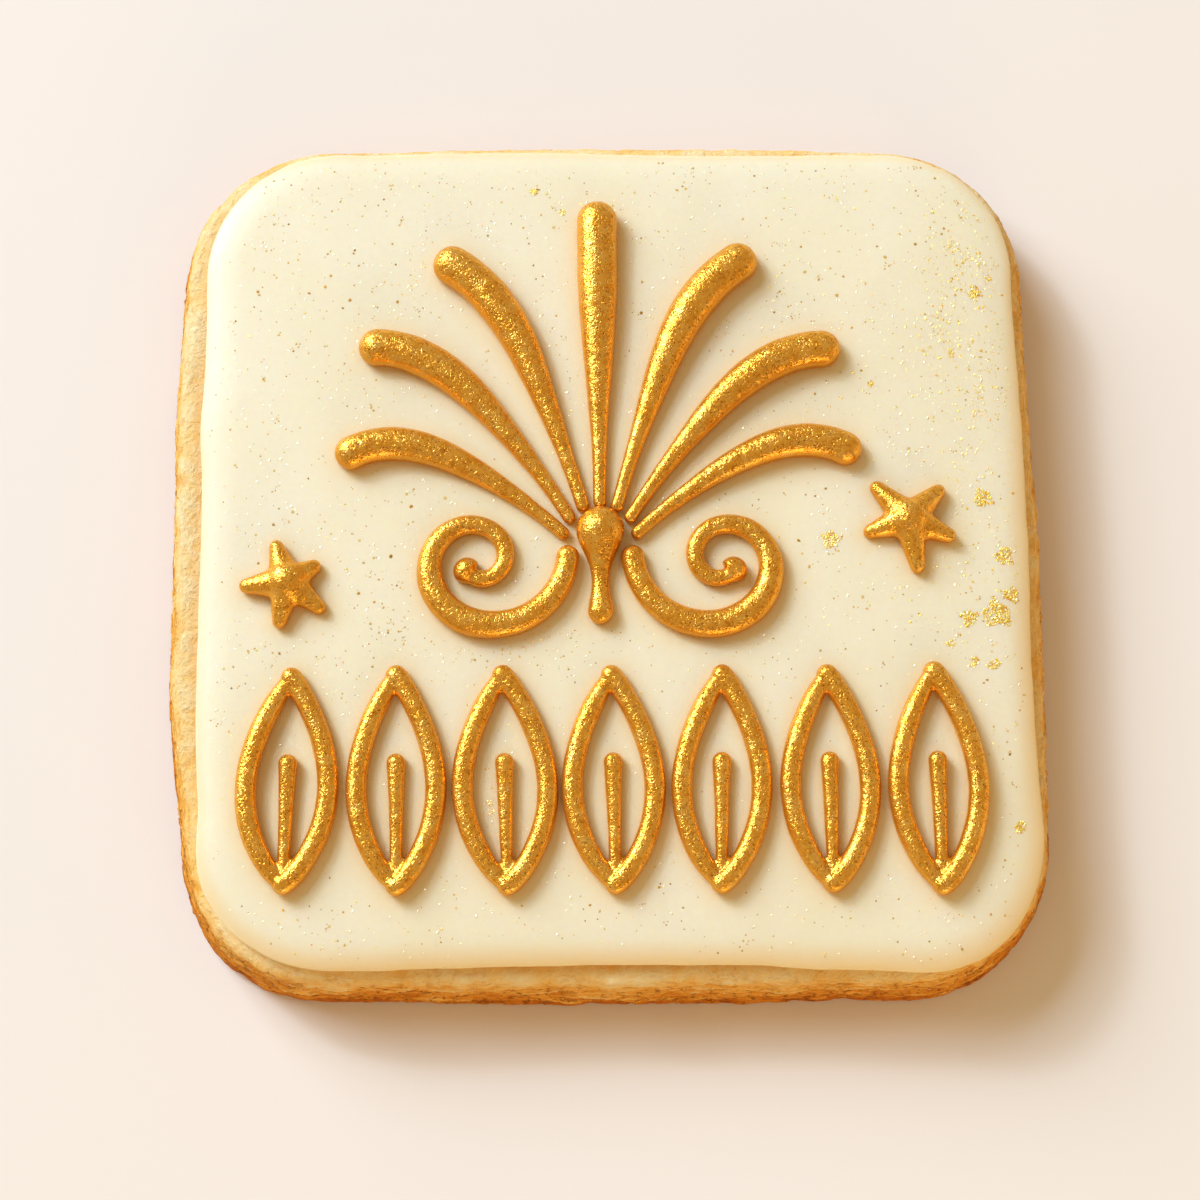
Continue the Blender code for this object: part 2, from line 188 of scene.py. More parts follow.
STAR_CORE = 1.5
CORE_LENGTH = 0.2
ARM_ROOT = 1.85
ARM_TIP = 0.7
ARM_CREST = 1.12
STAR_RELAX = 40
STAR_LEFT = {"centre": (-28.65, -3.9),
             "arms": ((108, 4.1), (31, 3.4), (-39, 4.3), (-100, 4.3), (185, 4.35))}
STAR_RIGHT = {"centre": (26.9, 1.7),
              "arms": ((133, 4.7), (43, 4.5), (-23, 4.6), (-81, 5.1), (198, 4.3))}

# Scatter on the icing.  A hill is a middle, a half width and half height, and its weight.
# A trail is a middle, a length, a turn in degrees and a count; a fleck, a middle and a radius.
SPECKS = 2700
SPECK_RADIUS = 0.07
SPECK_HILLS = [(-16.0, -7.5, 9.0, 4.5, 3.6), (-4.0, 33.0, 26.0, 5.0, 0.6), (-4.0, -9.0, 12.0, 4.0, 1.6),
               (2.0, 18.0, 14.0, 10.0, 0.7), (-25.0, 24.0, 9.0, 9.0, 0.3)]
CLUSTER_SHARE = 0.035
CLUSTER_SIZE = 4
CLUSTER_REACH = 0.26
SPARKLES = 2200
SPARKLE_RADIUS = 0.08
SPARKLE_LEAN = (-0.39, 0.21, 0.0)
SPARKLE_HILLS = [(31.0, 16.0, 7.0, 16.0, 2.4), (0.0, 20.0, 20.0, 12.0, 0.6)]
DUST = 1700
DUST_SIZE = 0.082
DUST_HILLS = [(33.0, 24.0, 3.5, 9.0, 46.0), (33.5, 8.0, 5.0, 14.0, 16.0), (24.0, 22.0, 9.0, 9.0, 5.0),
              (31.0, -10.0, 6.0, 12.0, 5.0), (27.6, -3.4, 1.7, 1.2, 34.0)]
DUST_TRAILS = [(30.5, 20.0, 5.0, 100, 60), (33.0, 27.0, 3.5, 150, 55), (34.0, 13.5, 6.0, 82, 60),
               (-10.6, -24.5, 8.0, 92, 110), (-8.5, -9.3, 5.0, 20, 40), (-17.5, 25.0, 4.0, 60, 26)]
TRAIL_SPREAD = 0.38
LEAF_GRAIN = 0.105
LEAF_FLECKS = [(33.9, 23.6, 0.63), (33.8, 3.9, 0.81), (35.5, -1.5, 0.81), (34.6, -6.8, 1.25),
               (32.1, -7.2, 0.72), (36.0, -5.0, 0.68), (32.4, -11.2, 0.45), (34.2, -11.4, 0.54),
               (30.3, -9.6, 0.3), (19.9, 0.0, 0.81), (35.8, -26.0, 0.54), (-6.7, 33.5, 0.36),
               (-4.1, 31.4, 0.27), (35.2, 25.0, 0.26), (31.4, 17.5, 0.28), (24.0, 14.6, 0.3)]

# The camera, at the photograph's viewing angle: its turns are in degrees.
CAMERA_PLACE = (-4.705, -57.104, 227.83)
CAMERA_TILT = 13.308
CAMERA_AZIMUTH = -4.275
CAMERA_ROLL = -0.46
CAMERA_LENS = 75.62
SENSOR_WIDTH = 36.0

# Each light is its place, its side in metres, its power in watts and its colour.
LIGHTS = {
    "key": ((-1130, 1000, 1040), 1.15, 36.6, (0.78, 0.88, 1.0)),
    "spark": ((-1130, 1000, 1040), 0.22, 8.0, (0.78, 0.88, 1.0)),
    "card": ((140, -510, 55), 0.40, 1.45, (1.0, 0.70, 0.34)),
    "side_card": ((520, -60, 45), 0.40, 0.45, (1.0, 0.66, 0.26)),
}
WORLD_COLOUR = (1.0, 0.70, 0.38)
WORLD_STRENGTH = 0.40
FLOOR_HALF = 3000.0


def corner_value(corner, seed):
    """A fixed random number from 0 to 1 for each whole-numbered corner, by mixing its bits."""
    whole = corner.astype(np.int64).astype(np.uint64)
    mixed = whole[..., 0] * np.uint64(73856093) ^ whole[..., 1] * np.uint64(19349663)
    mixed = mixed ^ whole[..., 2] * np.uint64(83492791) ^ np.uint64(seed * 2654435761 + 97)
    mixed = (mixed ^ (mixed >> np.uint64(15))) * np.uint64(2246822519)
    mixed = (mixed ^ (mixed >> np.uint64(13))) * np.uint64(3266489917)
    mixed = mixed ^ (mixed >> np.uint64(16))
    return (mixed & np.uint64(0xFFFFFF)).astype(float) / 0xFFFFFF


def noise(points, size, seed):
    """Smooth noise from -1 to 1: random values at the corners of cubes, faded between them.

    Along each axis the fade is 6t^5 - 15t^4 + 10t^3 of the place t in the cube.
    """
    place = points / size
    corner = np.floor(place)
    part = place - corner
    fade = part ** 3 * (part * (part * 6 - 15) + 10)
    total = np.zeros(points.shape[:-1])
    for step in np.ndindex(2, 2, 2):
        weight = np.prod(np.where(step, fade, 1 - fade), axis=-1)
        total += weight * corner_value(corner + step, seed)
    return total * 2 - 1


def rough_noise(points, size, seed, octaves=3):
    """Sum of noises, each half as large and half as strong as the one before it."""
    weights = 0.5 ** np.arange(octaves)
    layers = [noise(points, size * weight, seed + 11 * step) for step, weight in enumerate(weights)]
    return np.tensordot(weights, layers, axes=1) / weights.sum()


def crumbs(points, size, seed):
    """Distances to the nearest and next nearest of one random spot a box of the given size.

    They are in box lengths.  With them come the nearest spot's random number, and how far
    the point lies over it.
    """
    place = points / np.array(size)
    cell = np.floor(place)
    nearest = np.full(points.shape[:-1], 9.0)
    second = nearest.copy()
    number = np.zeros(points.shape[:-1])
    over = np.zeros(points.shape[:-1])
    for step in np.ndindex(3, 3, 3):
        cube = cell + (np.array(step) - 1)
        spot = cube + np.stack([corner_value(cube, seed + axis) for axis in range(3)], axis=-1)
        away = np.linalg.norm(place - spot, axis=-1)
        closer = away < nearest
        second = np.where(closer, nearest, np.minimum(second, away))
        number = np.where(closer, corner_value(cube, seed + 3), number)
        over = np.where(closer, (place - spot)[..., 2], over)
        nearest = np.minimum(nearest, away)
    return nearest, second, number, over


def ease(low, high, value):
    """A smooth step from 0 at low to 1 at high: 3t^2 - 2t^3."""
    share = np.clip((value - low) / (high - low), 0, 1)
    return share * share * (3 - 2 * share)


def hill(value, width):
    """A bell of height 1 round zero: exp(-(value / width)^2)."""
    return np.exp(-(value / width) ** 2)


def rounded_square(half, corner, count):
    """Evenly spaced points round a rounded square, anticlockwise from the lower right.

    Each quarter is a straight side and the quarter circle after it, turned into place.  With
    the points come their outward normals and how far along its side each lies, from -1 to 1.
    """
    outline = []
    for quarter in range(4):
        out, far = half if quarter % 2 == 0 else half[::-1]
        side = np.linspace(corner - far, far - corner, TRACE_STEPS)
        arc = np.linspace(0, math.pi / 2, TRACE_STEPS)[1:-1]
        x = np.concatenate([np.full(len(side), out), out - corner + corner * np.cos(arc)])
        y = np.concatenate([side, far - corner + corner * np.sin(arc)])
        normal_x = np.concatenate([np.ones(len(side)), np.cos(arc)])
        normal_y = np.concatenate([np.zeros(len(side)), np.sin(arc)])
        along = np.concatenate([side / (far - corner), np.ones(len(arc))])
        turn = quarter * math.pi / 2
        cos, sin = math.cos(turn), math.sin(turn)
        outline.append(np.column_stack([
            x * cos - y * sin, x * sin + y * cos,
            normal_x * cos - normal_y * sin, normal_x * sin + normal_y * cos, along]))
    outline = np.concatenate(outline)
    outline = np.vstack([outline, outline[:1]])
    steps = np.linalg.norm(np.diff(outline[:, :2], axis=0), axis=1)
    walked = np.concatenate([[0.0], np.cumsum(steps)])
    even = np.linspace(0, walked[-1], count, endpoint=False)
    columns = [np.interp(even, walked, column) for column in outline.T]
    return np.column_stack(columns[:2]), np.column_stack(columns[2:4]), columns[4]


def ripple(count, waves, seed):
    """A seeded sum of sine waves round a loop, scaled to reach 1 or -1."""
    rng = random.Random(seed)
    turn = np.linspace(0, 2 * math.pi, count, endpoint=False)
    total = np.zeros(count)
    for wave in range(waves[0], waves[1] + 1):
        weight = rng.uniform(0.4, 1.0)
        phase = rng.uniform(0, 2 * math.pi)
        total += weight * np.sin(wave * turn + phase)
    return total / np.abs(total).max()


def bulging(points, bulges):
    """How far an outline is pushed out at each point: the sum of a bell round each bulge."""
    push = np.zeros(points.shape[:-1])
    for x, y, width, size in bulges:
        push += size * hill(np.hypot(points[..., 0] - x, points[..., 1] - y), width)
    return push


def closed_grid(rows):
    """Points and faces of a closed skin: rings of points, with a pole past each end ring."""
    count, columns = rows.shape[:2]
    low = np.arange((count - 1) * columns).reshape(count - 1, columns)
    after = np.roll(low, -1, axis=1)
    quads = np.stack([low, after, after + columns, low + columns], axis=-1).reshape(-1, 4)
    first, last = np.arange(columns), np.arange(columns) + (count - 1) * columns
    pole = count * columns
    start = np.stack([np.full(columns, pole), np.roll(first, -1), first], axis=-1)
    end = np.stack([np.full(columns, pole + 1), last, np.roll(last, -1)], axis=-1)
    points = np.vstack([rows.reshape(-1, 3), rows[0].mean(axis=0), rows[-1].mean(axis=0)])
    return points, quads.tolist() + start.tolist() + end.tolist()


def add_object(name, data):
    """A new object at the origin, in the scene."""
    thing = bpy.data.objects.new(name, data)
    bpy.context.scene.collection.objects.link(thing)
    return thing


def add_piece(mesh, material, replaced=()):
    """One finished piece of the cookie, named after its mesh.

    It rides on the body, and it may stand for solids.
    """
    mesh.materials.append(material)
    piece = add_object(mesh.name, mesh)
    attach(piece, "root")
    if replaced:
        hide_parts(*replaced)


def make_mesh(name, points, faces, values=None, smooth=True):
    """A mesh from points in millimetres; values are its named numbers, one for each point."""
    mesh = bpy.data.meshes.new(name)
    mesh.from_pydata((points * MM).tolist(), [], faces)
    for title, numbers in (values or {}).items():
        attribute = mesh.attributes.new(title, "FLOAT", "POINT")
        attribute.data.foreach_set("value", np.asarray(numbers, np.float32).ravel())
    if smooth:
        mesh.shade_smooth()
    mesh.update()
    return mesh


def biscuit_profile():
    """Offsets from the outline and heights, from under the biscuit to its top by the icing.

    A level underside, a quarter oval up the foot, a slanted wall, and a quarter oval over
    the rim to a level shelf.
    """
    turn = np.linspace(0, math.pi / 2, FOOT_RINGS)
    over = np.linspace(0, math.pi / 2, OVER_RINGS + 1)[1:]
    climb = np.linspace(0, 1, WALL_RINGS + 1)[1:]
    parts = [
        (np.linspace(-UNDER_INSET, -FOOT_INSET, 3)[:-1], np.zeros(2)),
        (-FOOT_INSET * (1 - np.sin(turn)), FOOT_HEIGHT * (1 - np.cos(turn))),
        (-WALL_TAPER * climb, FOOT_HEIGHT + (WALL_TOP - FOOT_HEIGHT) * climb),
        (-SHELF_INSET + (SHELF_INSET - WALL_TAPER) * np.cos(over),
         WALL_TOP + (BISCUIT_THICK - WALL_TOP) * np.sin(over)),
        (np.array([-SHELF_INSET - 0.5, -SHELF_INSET - 1.4, -UNDER_INSET]), np.full(3, BISCUIT_THICK)),
    ]
    return [np.concatenate(column) for column in zip(*parts)]


def warped(points, reach, size, seed):
    """The points moved about by noise, a different one along each axis."""
    return points + reach * np.stack([noise(points, size, seed + axis) for axis in range(3)], axis=-1)


def wall_flakes(points):
    """The flaky wall: how far it stands out, how deep its slits are, and its lifted lips.

    Each flake is a lens, wider than tall, round its own random spot.  It leans out towards
    its lower edge, which ends in a lip over a slit that painted shade darkens.  Flakes with
    high numbers stand out more, and only they have a slit.
    """
    near, next_near, number, over = crumbs(warped(points, 0.30, 1.6, 1), FLAKE_SIZE, 20)
    seam = hill(next_near - near, 0.11)
    low = ease(0.02, 0.34, -over)
    slit = seam * low * ease(0.30, 0.55, number)
    lip = low * (1 - seam) * ease(0.2, 0.7, number)
    out = -FLAKE_LEAN * over + 0.20 * (number - 0.5) - SLIT_DEPTH * slit
    return out, slit, lip


def foot_rim(points):
    """The browned rim at the foot: how far it stands out, and the broken slit over it.

    The rim is a bell over the height.  It is scalloped by noise, and its slit runs along a
    line that wanders up and down.
    """
    height = points[..., 2]
    line = FOOT_RIM_TOP + 0.22 * noise(points, 3.4, 8) + 0.10 * noise(points, 1.1, 9)
    torn = ease(-0.45, 0.15, noise(points, 2.3, 10))
    slit = hill(height - line, 0.13) * torn
    notch = ease(0.40, 0.62, noise(points, 1.25, 11)) * (1 - ease(line - 0.1, line + 0.3, height))
    rim = hill(height - 0.65, 0.62) * (0.12 + 0.06 * noise(points, 1.6, 12))
    return rim - 0.28 * slit - 0.10 * notch, np.maximum(slit, 0.3 * notch)


def biscuit_relief(points):
    """How far the baked crumb stands out of the smooth form, where painted shade darkens its hollows, and its
    lips.

    Flakes cover the wall, and a rim its foot.  Soft lumps, short curly cracks, pits and low
    grooves go over everything, up to the icing.
    """
    height = points[..., 2]
    flaky = 1 - ease(WALL_TOP - 0.3, WALL_TOP + 0.5, height + 0.25 * noise(points, 2.2, 4))
    over_rim = ease(FOOT_RIM_TOP - 0.35, FOOT_RIM_TOP + 0.25, height)
    flakes, slit, lip = wall_flakes(points)
    rim, rim_slit = foot_rim(points)
    near, _, number, _ = crumbs(points, 1.35, 30)
    pit = hill(near, 0.22) * (number > 0.40)
    near, next_near, _, _ = crumbs(warped(points, 0.35, 0.9, 13), 1.5, 40)
    crack = hill(next_near - near, 0.05) * ease(-0.05, 0.25, noise(points, 1.3, 6))
    upright = points * np.array((1.0, 1.0, 0.35))
    groove = ease(0.30, 0.62, noise(upright, 0.9, 17)) * (1 - ease(5.2, 6.2, height))
    relief = flakes * flaky * over_rim + rim
    relief += LUMP_HEIGHT * (noise(points, 1.7, 5) + noise(points, 6.5, 16))
    relief += CRUMB_HEIGHT * rough_noise(points, 0.7, 7)
    relief -= CRACK_DEPTH * crack + PIT_DEPTH * pit + GROOVE_DEPTH * groove
    # Painted shade: the flakes' slits, the slit over the foot rim, the cracks and the pits are darkened in
    # colour.
    hollow = np.maximum(slit * flaky * over_rim, rim_slit)
    return relief, np.clip(hollow + 0.6 * crack + 0.6 * pit, 0, 1), lip * flaky * over_rim


def browning_and_painted_light(smooth, lip, push):
    """How brown the biscuit is: by height, with blotches, and more at the lower left; painted shade makes it
    browner on the right and front sides, which face away from the light.

    Painted highlight: the lips of the flakes and what stands out stay paler.
    """
    wander = 0.35 * noise(smooth, 2.0, 41) * ease(0.4, 1.2, smooth[..., 2])
    bake = np.interp(smooth[..., 2] + wander, BROWNING_HEIGHTS, BROWNING)
    # Painted highlight: the lips and the raised relief are made paler.
    bake += 0.10 * rough_noise(smooth, 5.0, 42) + 0.07 * noise(smooth, 1.3, 43) - 0.22 * lip - 0.35 * push
    # Painted shade: browner on the right and front sides, away from the light; the lower left is browner in
    # tone.
    left = ease(30.0, 38.0, -smooth[..., 0]) * ease(2.0, 26.0, -smooth[..., 1])
    right = ease(24.0, 38.0, smooth[..., 0])
    front = ease(30.0, 39.0, -smooth[..., 1])
    return bake + (0.14 * left + 0.08 * right + 0.04 * front)


def make_biscuit(material):
    """The biscuit: the profile carried round the outline, pushed out by the crumb's relief.

    The far side is pulled in, because the icing all but covers it there, and painted shade
    darkens the shelf where it goes under the icing.  Its rows of points and their heights come
    back, for the sugar grains.
    """
    points, normals, along = rounded_square(BISCUIT_HALF, BISCUIT_CORNER, BISCUIT_COLUMNS)
    points += normals * bulging(points, BISCUIT_BULGES)[:, None]
    points[:, 1] -= FAR_SIDE_PULL * ease(20.0, 40.0, points[:, 1])
    offset, height = biscuit_profile()
    run, rise = np.gradient(offset), np.gradient(height)
    length = np.hypot(run, rise)
    out, up = rise / length, -run / length
    bow = SIDE_BOW * (1 - along ** 2)
    smooth = np.empty((len(offset), BISCUIT_COLUMNS, 3))
    smooth[..., :2] = points + normals * (bow + offset[:, None])[..., None]
    smooth[..., 2] = height[:, None]
    relief, hollow, lip = biscuit_relief(smooth)
    on_wall = ease(0.0, 0.6, height) * (1 - 0.35 * ease(WALL_TOP, BISCUIT_THICK, height))
    on_wall *= ease(-SHELF_INSET - 1.6, -SHELF_INSET - 0.2, offset)
    # Painted shade on the shelf under the icing's edge.
    painted_shade_under_icing = 0.35 * ease(2.3, 2.8, -offset) * (height > WALL_TOP)
    push = relief * on_wall[:, None]
    rows = smooth.copy()
    rows[..., :2] += normals * (push * out[:, None])[..., None]
    rows[..., 2] += push * up[:, None]
    rows[..., 2] = np.maximum(rows[..., 2], 0)
    hollow = np.maximum(hollow * on_wall[:, None], painted_shade_under_icing[:, None])
    values = {
        "bake": np.concatenate([browning_and_painted_light(smooth, lip, push).ravel(), [0.9, 0.1]]),
        "hollow": np.concatenate([hollow.ravel(), [0, 0]]),
    }
    add_piece(make_mesh("baked_biscuit", *closed_grid(rows), values), material, ["cookie"])
    return rows, height


def make_sugar_grains(material, rows, height):
    """Clear grains of sugar, stuck on the biscuit's rim and upper wall at random grid points."""
    rng = np.random.default_rng(15)
    rim = rows[(height > 3.0) & (height < BISCUIT_THICK)]
    level = rng.integers(1, len(rim) - 1, SUGAR_GRAINS)
    column = rng.integers(0, rim.shape[1], SUGAR_GRAINS)
    sizes = GRAIN_SIZE * rng.uniform(0.5, 1.2, SUGAR_GRAINS)
    shapes = crystals(rng, rim[level, column], sizes)
    add_scatter("sugar_grains", *shapes, rng.random(SUGAR_GRAINS), material, "biscuit")


def icing_inset(places):
    """How far inside the icing's outline each place lies: a rounded box's distance.

    The outline's bulges add to it, less and less up the shoulder.
    """
    shifted = np.abs(places[..., :2] - np.array(ICING_SHIFT)) - (np.array(ICING_HALF) - ICING_CORNER)
    beyond = np.linalg.norm(np.maximum(shifted, 0), axis=-1)
    inset = ICING_CORNER - beyond - np.minimum(shifted.max(axis=-1), 0)
    return inset + bulging(places, ICING_BULGES) * np.clip(1 - inset / ICING_SHOULDER, 0, 1)


def icing_swell(places):
    """The slow unevenness of the icing's top, in millimetres."""
    flat = np.concatenate([places[..., :2], np.zeros((*places.shape[:-1], 1))], axis=-1)
    return 0.045 * noise(flat, 11.0, 50) + 0.018 * noise(flat, 3.7, 51)


def icing_fall(inset):
    """How far the icing's top falls away towards its edge, as a parabola."""
    return ICING_CROWN * np.clip(1 - inset / CROWN_REACH, 0, 1) ** 2


def icing_height(places):
    """The icing's surface over each place: a quarter oval up the shoulder, then a low crown."""
    inset = icing_inset(places)
    share = np.clip(inset / ICING_SHOULDER, 0, 1)
    rise = (ICING_TOP - icing_fall(inset) - ICING_BELLY) * np.sqrt(1 - (1 - share) ** 2)
    return ICING_BELLY + rise + icing_swell(places) * ease(0.5, 5.0, inset)


def icing_edge_wave(points):
    """How far the icing's outline runs out or in at each point: waves, bulges and a nick."""
    around = np.linspace(0, WAVE_POINTS, ICING_COLUMNS, endpoint=False)
    coarse = ripple(WAVE_POINTS, WAVE_COUNTS, seed=8)
    wave = ICING_WAVE * np.interp(around, np.arange(WAVE_POINTS + 1), np.append(coarse, coarse[0]))
    wave += 0.05 * noise(np.column_stack([points, np.zeros(len(points))]), 2.2, 52)
    wave += bulging(points, ICING_BULGES)
    return wave - NICK_DEPTH * hill(np.hypot(points[:, 0] - NICK[0], points[:, 1] - NICK[1]), NICK_WIDTH)


def make_icing(material, strokes):
    """The icing: rings from its tucked foot, round the belly and the shoulder, to the middle.

    The tuck and the shoulder are quarter ovals.  The outline's wave fades up the shoulder,
    and inside the last full ring the rings shrink evenly towards the middle.  The colour has a
    painted warm reflection of the gold near it, and painted shade and bounce light from the
    biscuit at the edge, most where it faces away from the light.
    """
    points, normals, _ = rounded_square(ICING_HALF, ICING_CORNER, ICING_COLUMNS)
    points = points + np.array(ICING_SHIFT)
    wave = icing_edge_wave(points)
    tuck = np.linspace(-math.pi / 2, 0, TUCK_RINGS + 1)[:-1]
    climb = np.linspace(0, math.pi / 2, SHOULDER_RINGS)
    level = np.ones(RIM_RINGS + MIDDLE_RINGS)
    inset = np.concatenate([
        [OFFSET_REACH], ICING_TUCK * (1 - np.cos(tuck)), ICING_SHOULDER * (1 - np.cos(climb)),
        np.linspace(ICING_SHOULDER, OFFSET_REACH, RIM_RINGS + 1)[1:], np.full(MIDDLE_RINGS, OFFSET_REACH)])
    height = np.concatenate([
        [ICING_FOOT], ICING_BELLY + (ICING_BELLY - ICING_FOOT) * np.sin(tuck),
        ICING_BELLY + (ICING_TOP - ICING_BELLY) * np.sin(climb), ICING_TOP * level])
    waviness = np.concatenate([[0], np.ones(TUCK_RINGS), np.cos(climb), 0 * level])
    shrink = np.concatenate([
        np.ones(len(inset) - MIDDLE_RINGS), np.linspace(1, LAST_RING, MIDDLE_RINGS + 1)[1:]])
    middle = np.array(ICING_SHIFT)
    rings = points + normals * (wave * waviness[:, None] - inset[:, None])[..., None]
    rows = np.empty((*rings.shape[:2], 3))
    rows[..., :2] = middle + (rings - middle) * shrink[:, None, None]
    rows[..., 2] = height[:, None]
    on_top = (np.arange(len(rows)) > TUCK_RINGS + 1)[:, None]
    risen = (rows[..., 2] - ICING_BELLY) / (ICING_TOP - ICING_BELLY) * on_top
    inside = icing_inset(rows)
    rows[..., 2] += icing_swell(rows) * ease(0.5, 5.0, inside) * on_top - icing_fall(inside) * risen
    near_gold = np.maximum(gap_to_strokes(rows, strokes), 0)
    rows[..., 2] += RISE_BY_GOLD * np.exp(-near_gold / 0.5) * on_top
    # Painted shade and painted bounce light from the biscuit: the edge is tinted warmer and darker, most on
    # the side that faces away from the light.
    shaded = ease(-8.0, 22.0, 0.55 * rows[..., 0] - 0.83 * rows[..., 1])
    edge = (0.6 + 0.4 * shaded) * (1 - ease(0.0, 1.2 + 1.3 * shaded, inset[:, None]))
    edge[0] = 1
    # Painted reflection: the icing close to the gold is tinted by the gold's warm light.
    values = {
        "warmth": np.concatenate([np.exp(-near_gold / 0.8).ravel(), [0, 0]]),
        "edge": np.concatenate([edge.ravel(), [1, 0]]),
    }
    add_piece(make_mesh("icing_pillow", *closed_grid(rows), values), material, ["icing"])


def gap_to_strokes(places, strokes):
    """Level distance from each place to the side of the nearest gold stroke."""
    flat = places[..., :2].reshape(-1, 2)
    gap = np.full(len(flat), 50.0)
    for path, radii in strokes:
        reach = radii.max() + 6
        low, high = path.min(axis=0) - reach, path.max(axis=0) + reach
        inside = np.nonzero(((flat > low) & (flat < high)).all(axis=1))[0]
        away = np.linalg.norm(flat[inside, None] - path[None, ::4], axis=-1) - radii[::4]
        gap[inside] = np.minimum(gap[inside], away.min(axis=1))
    return gap.reshape(places.shape[:-1])


def walk(start, headings, steps):
    """A path from its headings, in degrees clockwise from +Y, and the length of each step."""
    turned = np.radians(headings)
    middle = (turned[1:] + turned[:-1]) / 2
    east = np.concatenate([[0.0], np.cumsum(np.sin(middle) * steps)])
    north = np.concatenate([[0.0], np.cumsum(np.cos(middle) * steps)])
    return np.column_stack([start[0] + east, start[1] + north])


def plume_stroke(place):
    """One plume: a thin tail that swells into a round head and hooks away from the middle.

    The place runs from -3 at the left to 3 at the right, with 0 upright in the middle.
    """
    rng = random.Random(40 + place)
    share = np.linspace(0, 1, TRACE_STEPS)
    steps_out = abs(place)
    hook = PLUME_HOOK + HOOK_MORE * steps_out
    late = np.clip((share - HOOK_FROM) / (1 - HOOK_FROM), 0, 1)
    headings = TAIL_SPREAD * place + (HEAD_SPREAD - TAIL_SPREAD) * place * share
    headings = headings + np.sign(place) * hook * late ** 2 + rng.uniform(-PLUME_SWAY, PLUME_SWAY)
    foot_turn = math.radians(FOOT_SPREAD * place)
    start = (FAN[0] + FAN_FOOT_RADIUS * math.sin(foot_turn), FAN[1] + FAN_FOOT_RADIUS * math.cos(foot_turn))
    length = PLUME_LENGTH - PLUME_SHORTER * steps_out ** 2
    head = PLUME_HEAD - PLUME_SLIMMER * steps_out ** 2
    swell = np.sin(np.clip(share / PLUME_HEAD_AT, 0, 1) * math.pi / 2) ** 2.2
    return walk(start, headings, length / (TRACE_STEPS - 1)), PLUME_TAIL + (head - PLUME_TAIL) * swell


def boss_stroke():
    """The boss and its drop, as one upright stroke from the top down."""
    share = np.linspace(0, 1, TRACE_STEPS)
    path = np.column_stack([np.full(TRACE_STEPS, FAN[0]), FAN[1] + BOSS_TOP - DROP_LENGTH * share])
    bead = (BOSS_RADIUS - DROP_WAIST) * hill(share, BOSS_SHARE)
    end = (DROP_END - DROP_WAIST) * hill(share - 1, DROP_END_SHARE)
    return path, DROP_WAIST + bead + end


def scroll_stroke(side):
    """One scroll, to the right for side 1 and to the left for side -1.

    Its bend keeps one radius through the swing, and then tightens evenly, by the same
    ratio for each degree of turn, down to the eye of the curl.
    """
    share = np.linspace(0, 1, 2 * TRACE_STEPS)
    turn = share * (SWING_TURN + CURL_TURN)
    into_curl = np.clip((turn - SWING_TURN) / CURL_TURN, 0, 1)
    curl = CURL_RADIUS * (CURL_EYE / CURL_RADIUS) ** into_curl
    bend = np.where(turn < SWING_TURN, SWING_RADIUS, curl)
    steps = (bend[1:] + bend[:-1]) / 2 * np.diff(np.radians(turn))
    path = walk(SCROLL_START, SCROLL_HEADING - turn, steps)
    path = np.column_stack([FAN[0] + side * path[:, 0], FAN[1] + path[:, 1]])
    radii = SCROLL_LINE + (SCROLL_END_LINE - SCROLL_LINE) * share
    radii += SCROLL_SWELL * hill(share - SWELL_AT, SWELL_SHARE)
    radii += (SCROLL_EYE_BEAD - radii[-1]) * np.clip((share - EYE_BEAD_FROM) / (1 - EYE_BEAD_FROM), 0, 1)
    return path, radii


def leaf_strokes(index):
    """One leaf of the row, counted from the left: two bowed sides and a rib."""
    rng = random.Random(70 + index)
    share = np.linspace(0, 1, TRACE_STEPS)
    centre_x = LEAF_ROW[0] + (index - (LEAVES - 1) / 2) * LEAF_PITCH
    lean = rng.uniform(-LEAF_LEAN, LEAF_LEAN)
    height = LEAF_HEIGHT + rng.uniform(-2, 2) * LEAF_VARIES
    width = LEAF_WIDTH + rng.uniform(-1, 1) * LEAF_VARIES
    foot = LEAF_ROW[1] - height / 2
    strokes = []
    for side, trim, thinner in ((1, 0.0, 0.0), (-1, SECOND_SIDE_TRIM, SECOND_SIDE_THINNER)):
        climb = trim + (1 - 2 * trim) * share
        bow = side * width / 2 * np.sin(math.pi * climb ** LEAF_WIDEST) ** LEAF_FULLNESS
        path = np.column_stack([centre_x + bow + lean * (climb - 0.5), foot + height * climb])
        strokes.append((path, LEAF_LINE * (1 - thinner * np.abs(2 * share - 1) ** 6)))
    climb = RIB_SHARE * share
    rib = np.column_stack([centre_x + lean * (climb - 0.5), foot + height * climb])
    strokes.append((rib, RIB_FOOT + (RIB_HEAD - RIB_FOOT) * share ** 2))
    return strokes


def star_strokes(centre, arms):
    """One star: a round core, and arms of the given direction and reach that narrow to soft tips."""
    share = np.linspace(0, 1, TRACE_STEPS // 4)
    core = np.array(centre) + np.outer(share * CORE_LENGTH, (1, 0))
    strokes = [(core, np.full(len(share), STAR_CORE))]
    for turn, reach in arms:
        direction = np.array([math.cos(math.radians(turn)), math.sin(math.radians(turn))])
        path = np.array(centre) + np.outer(share * (reach - ARM_TIP), direction)
        strokes.append((path, ARM_ROOT + (ARM_TIP - ARM_ROOT) * share ** 0.8))
    return strokes


def evenly(path, radii, spacing):
    """The path and its radii again at even steps along its length."""
    walked = np.concatenate([[0.0], np.cumsum(np.linalg.norm(np.diff(path, axis=0), axis=1))])
    even = np.linspace(0, walked[-1], max(4, int(walked[-1] / spacing)))
    columns = [np.interp(even, walked, column) for column in (*path.T, radii)]
    return np.column_stack(columns[:2]), columns[2]


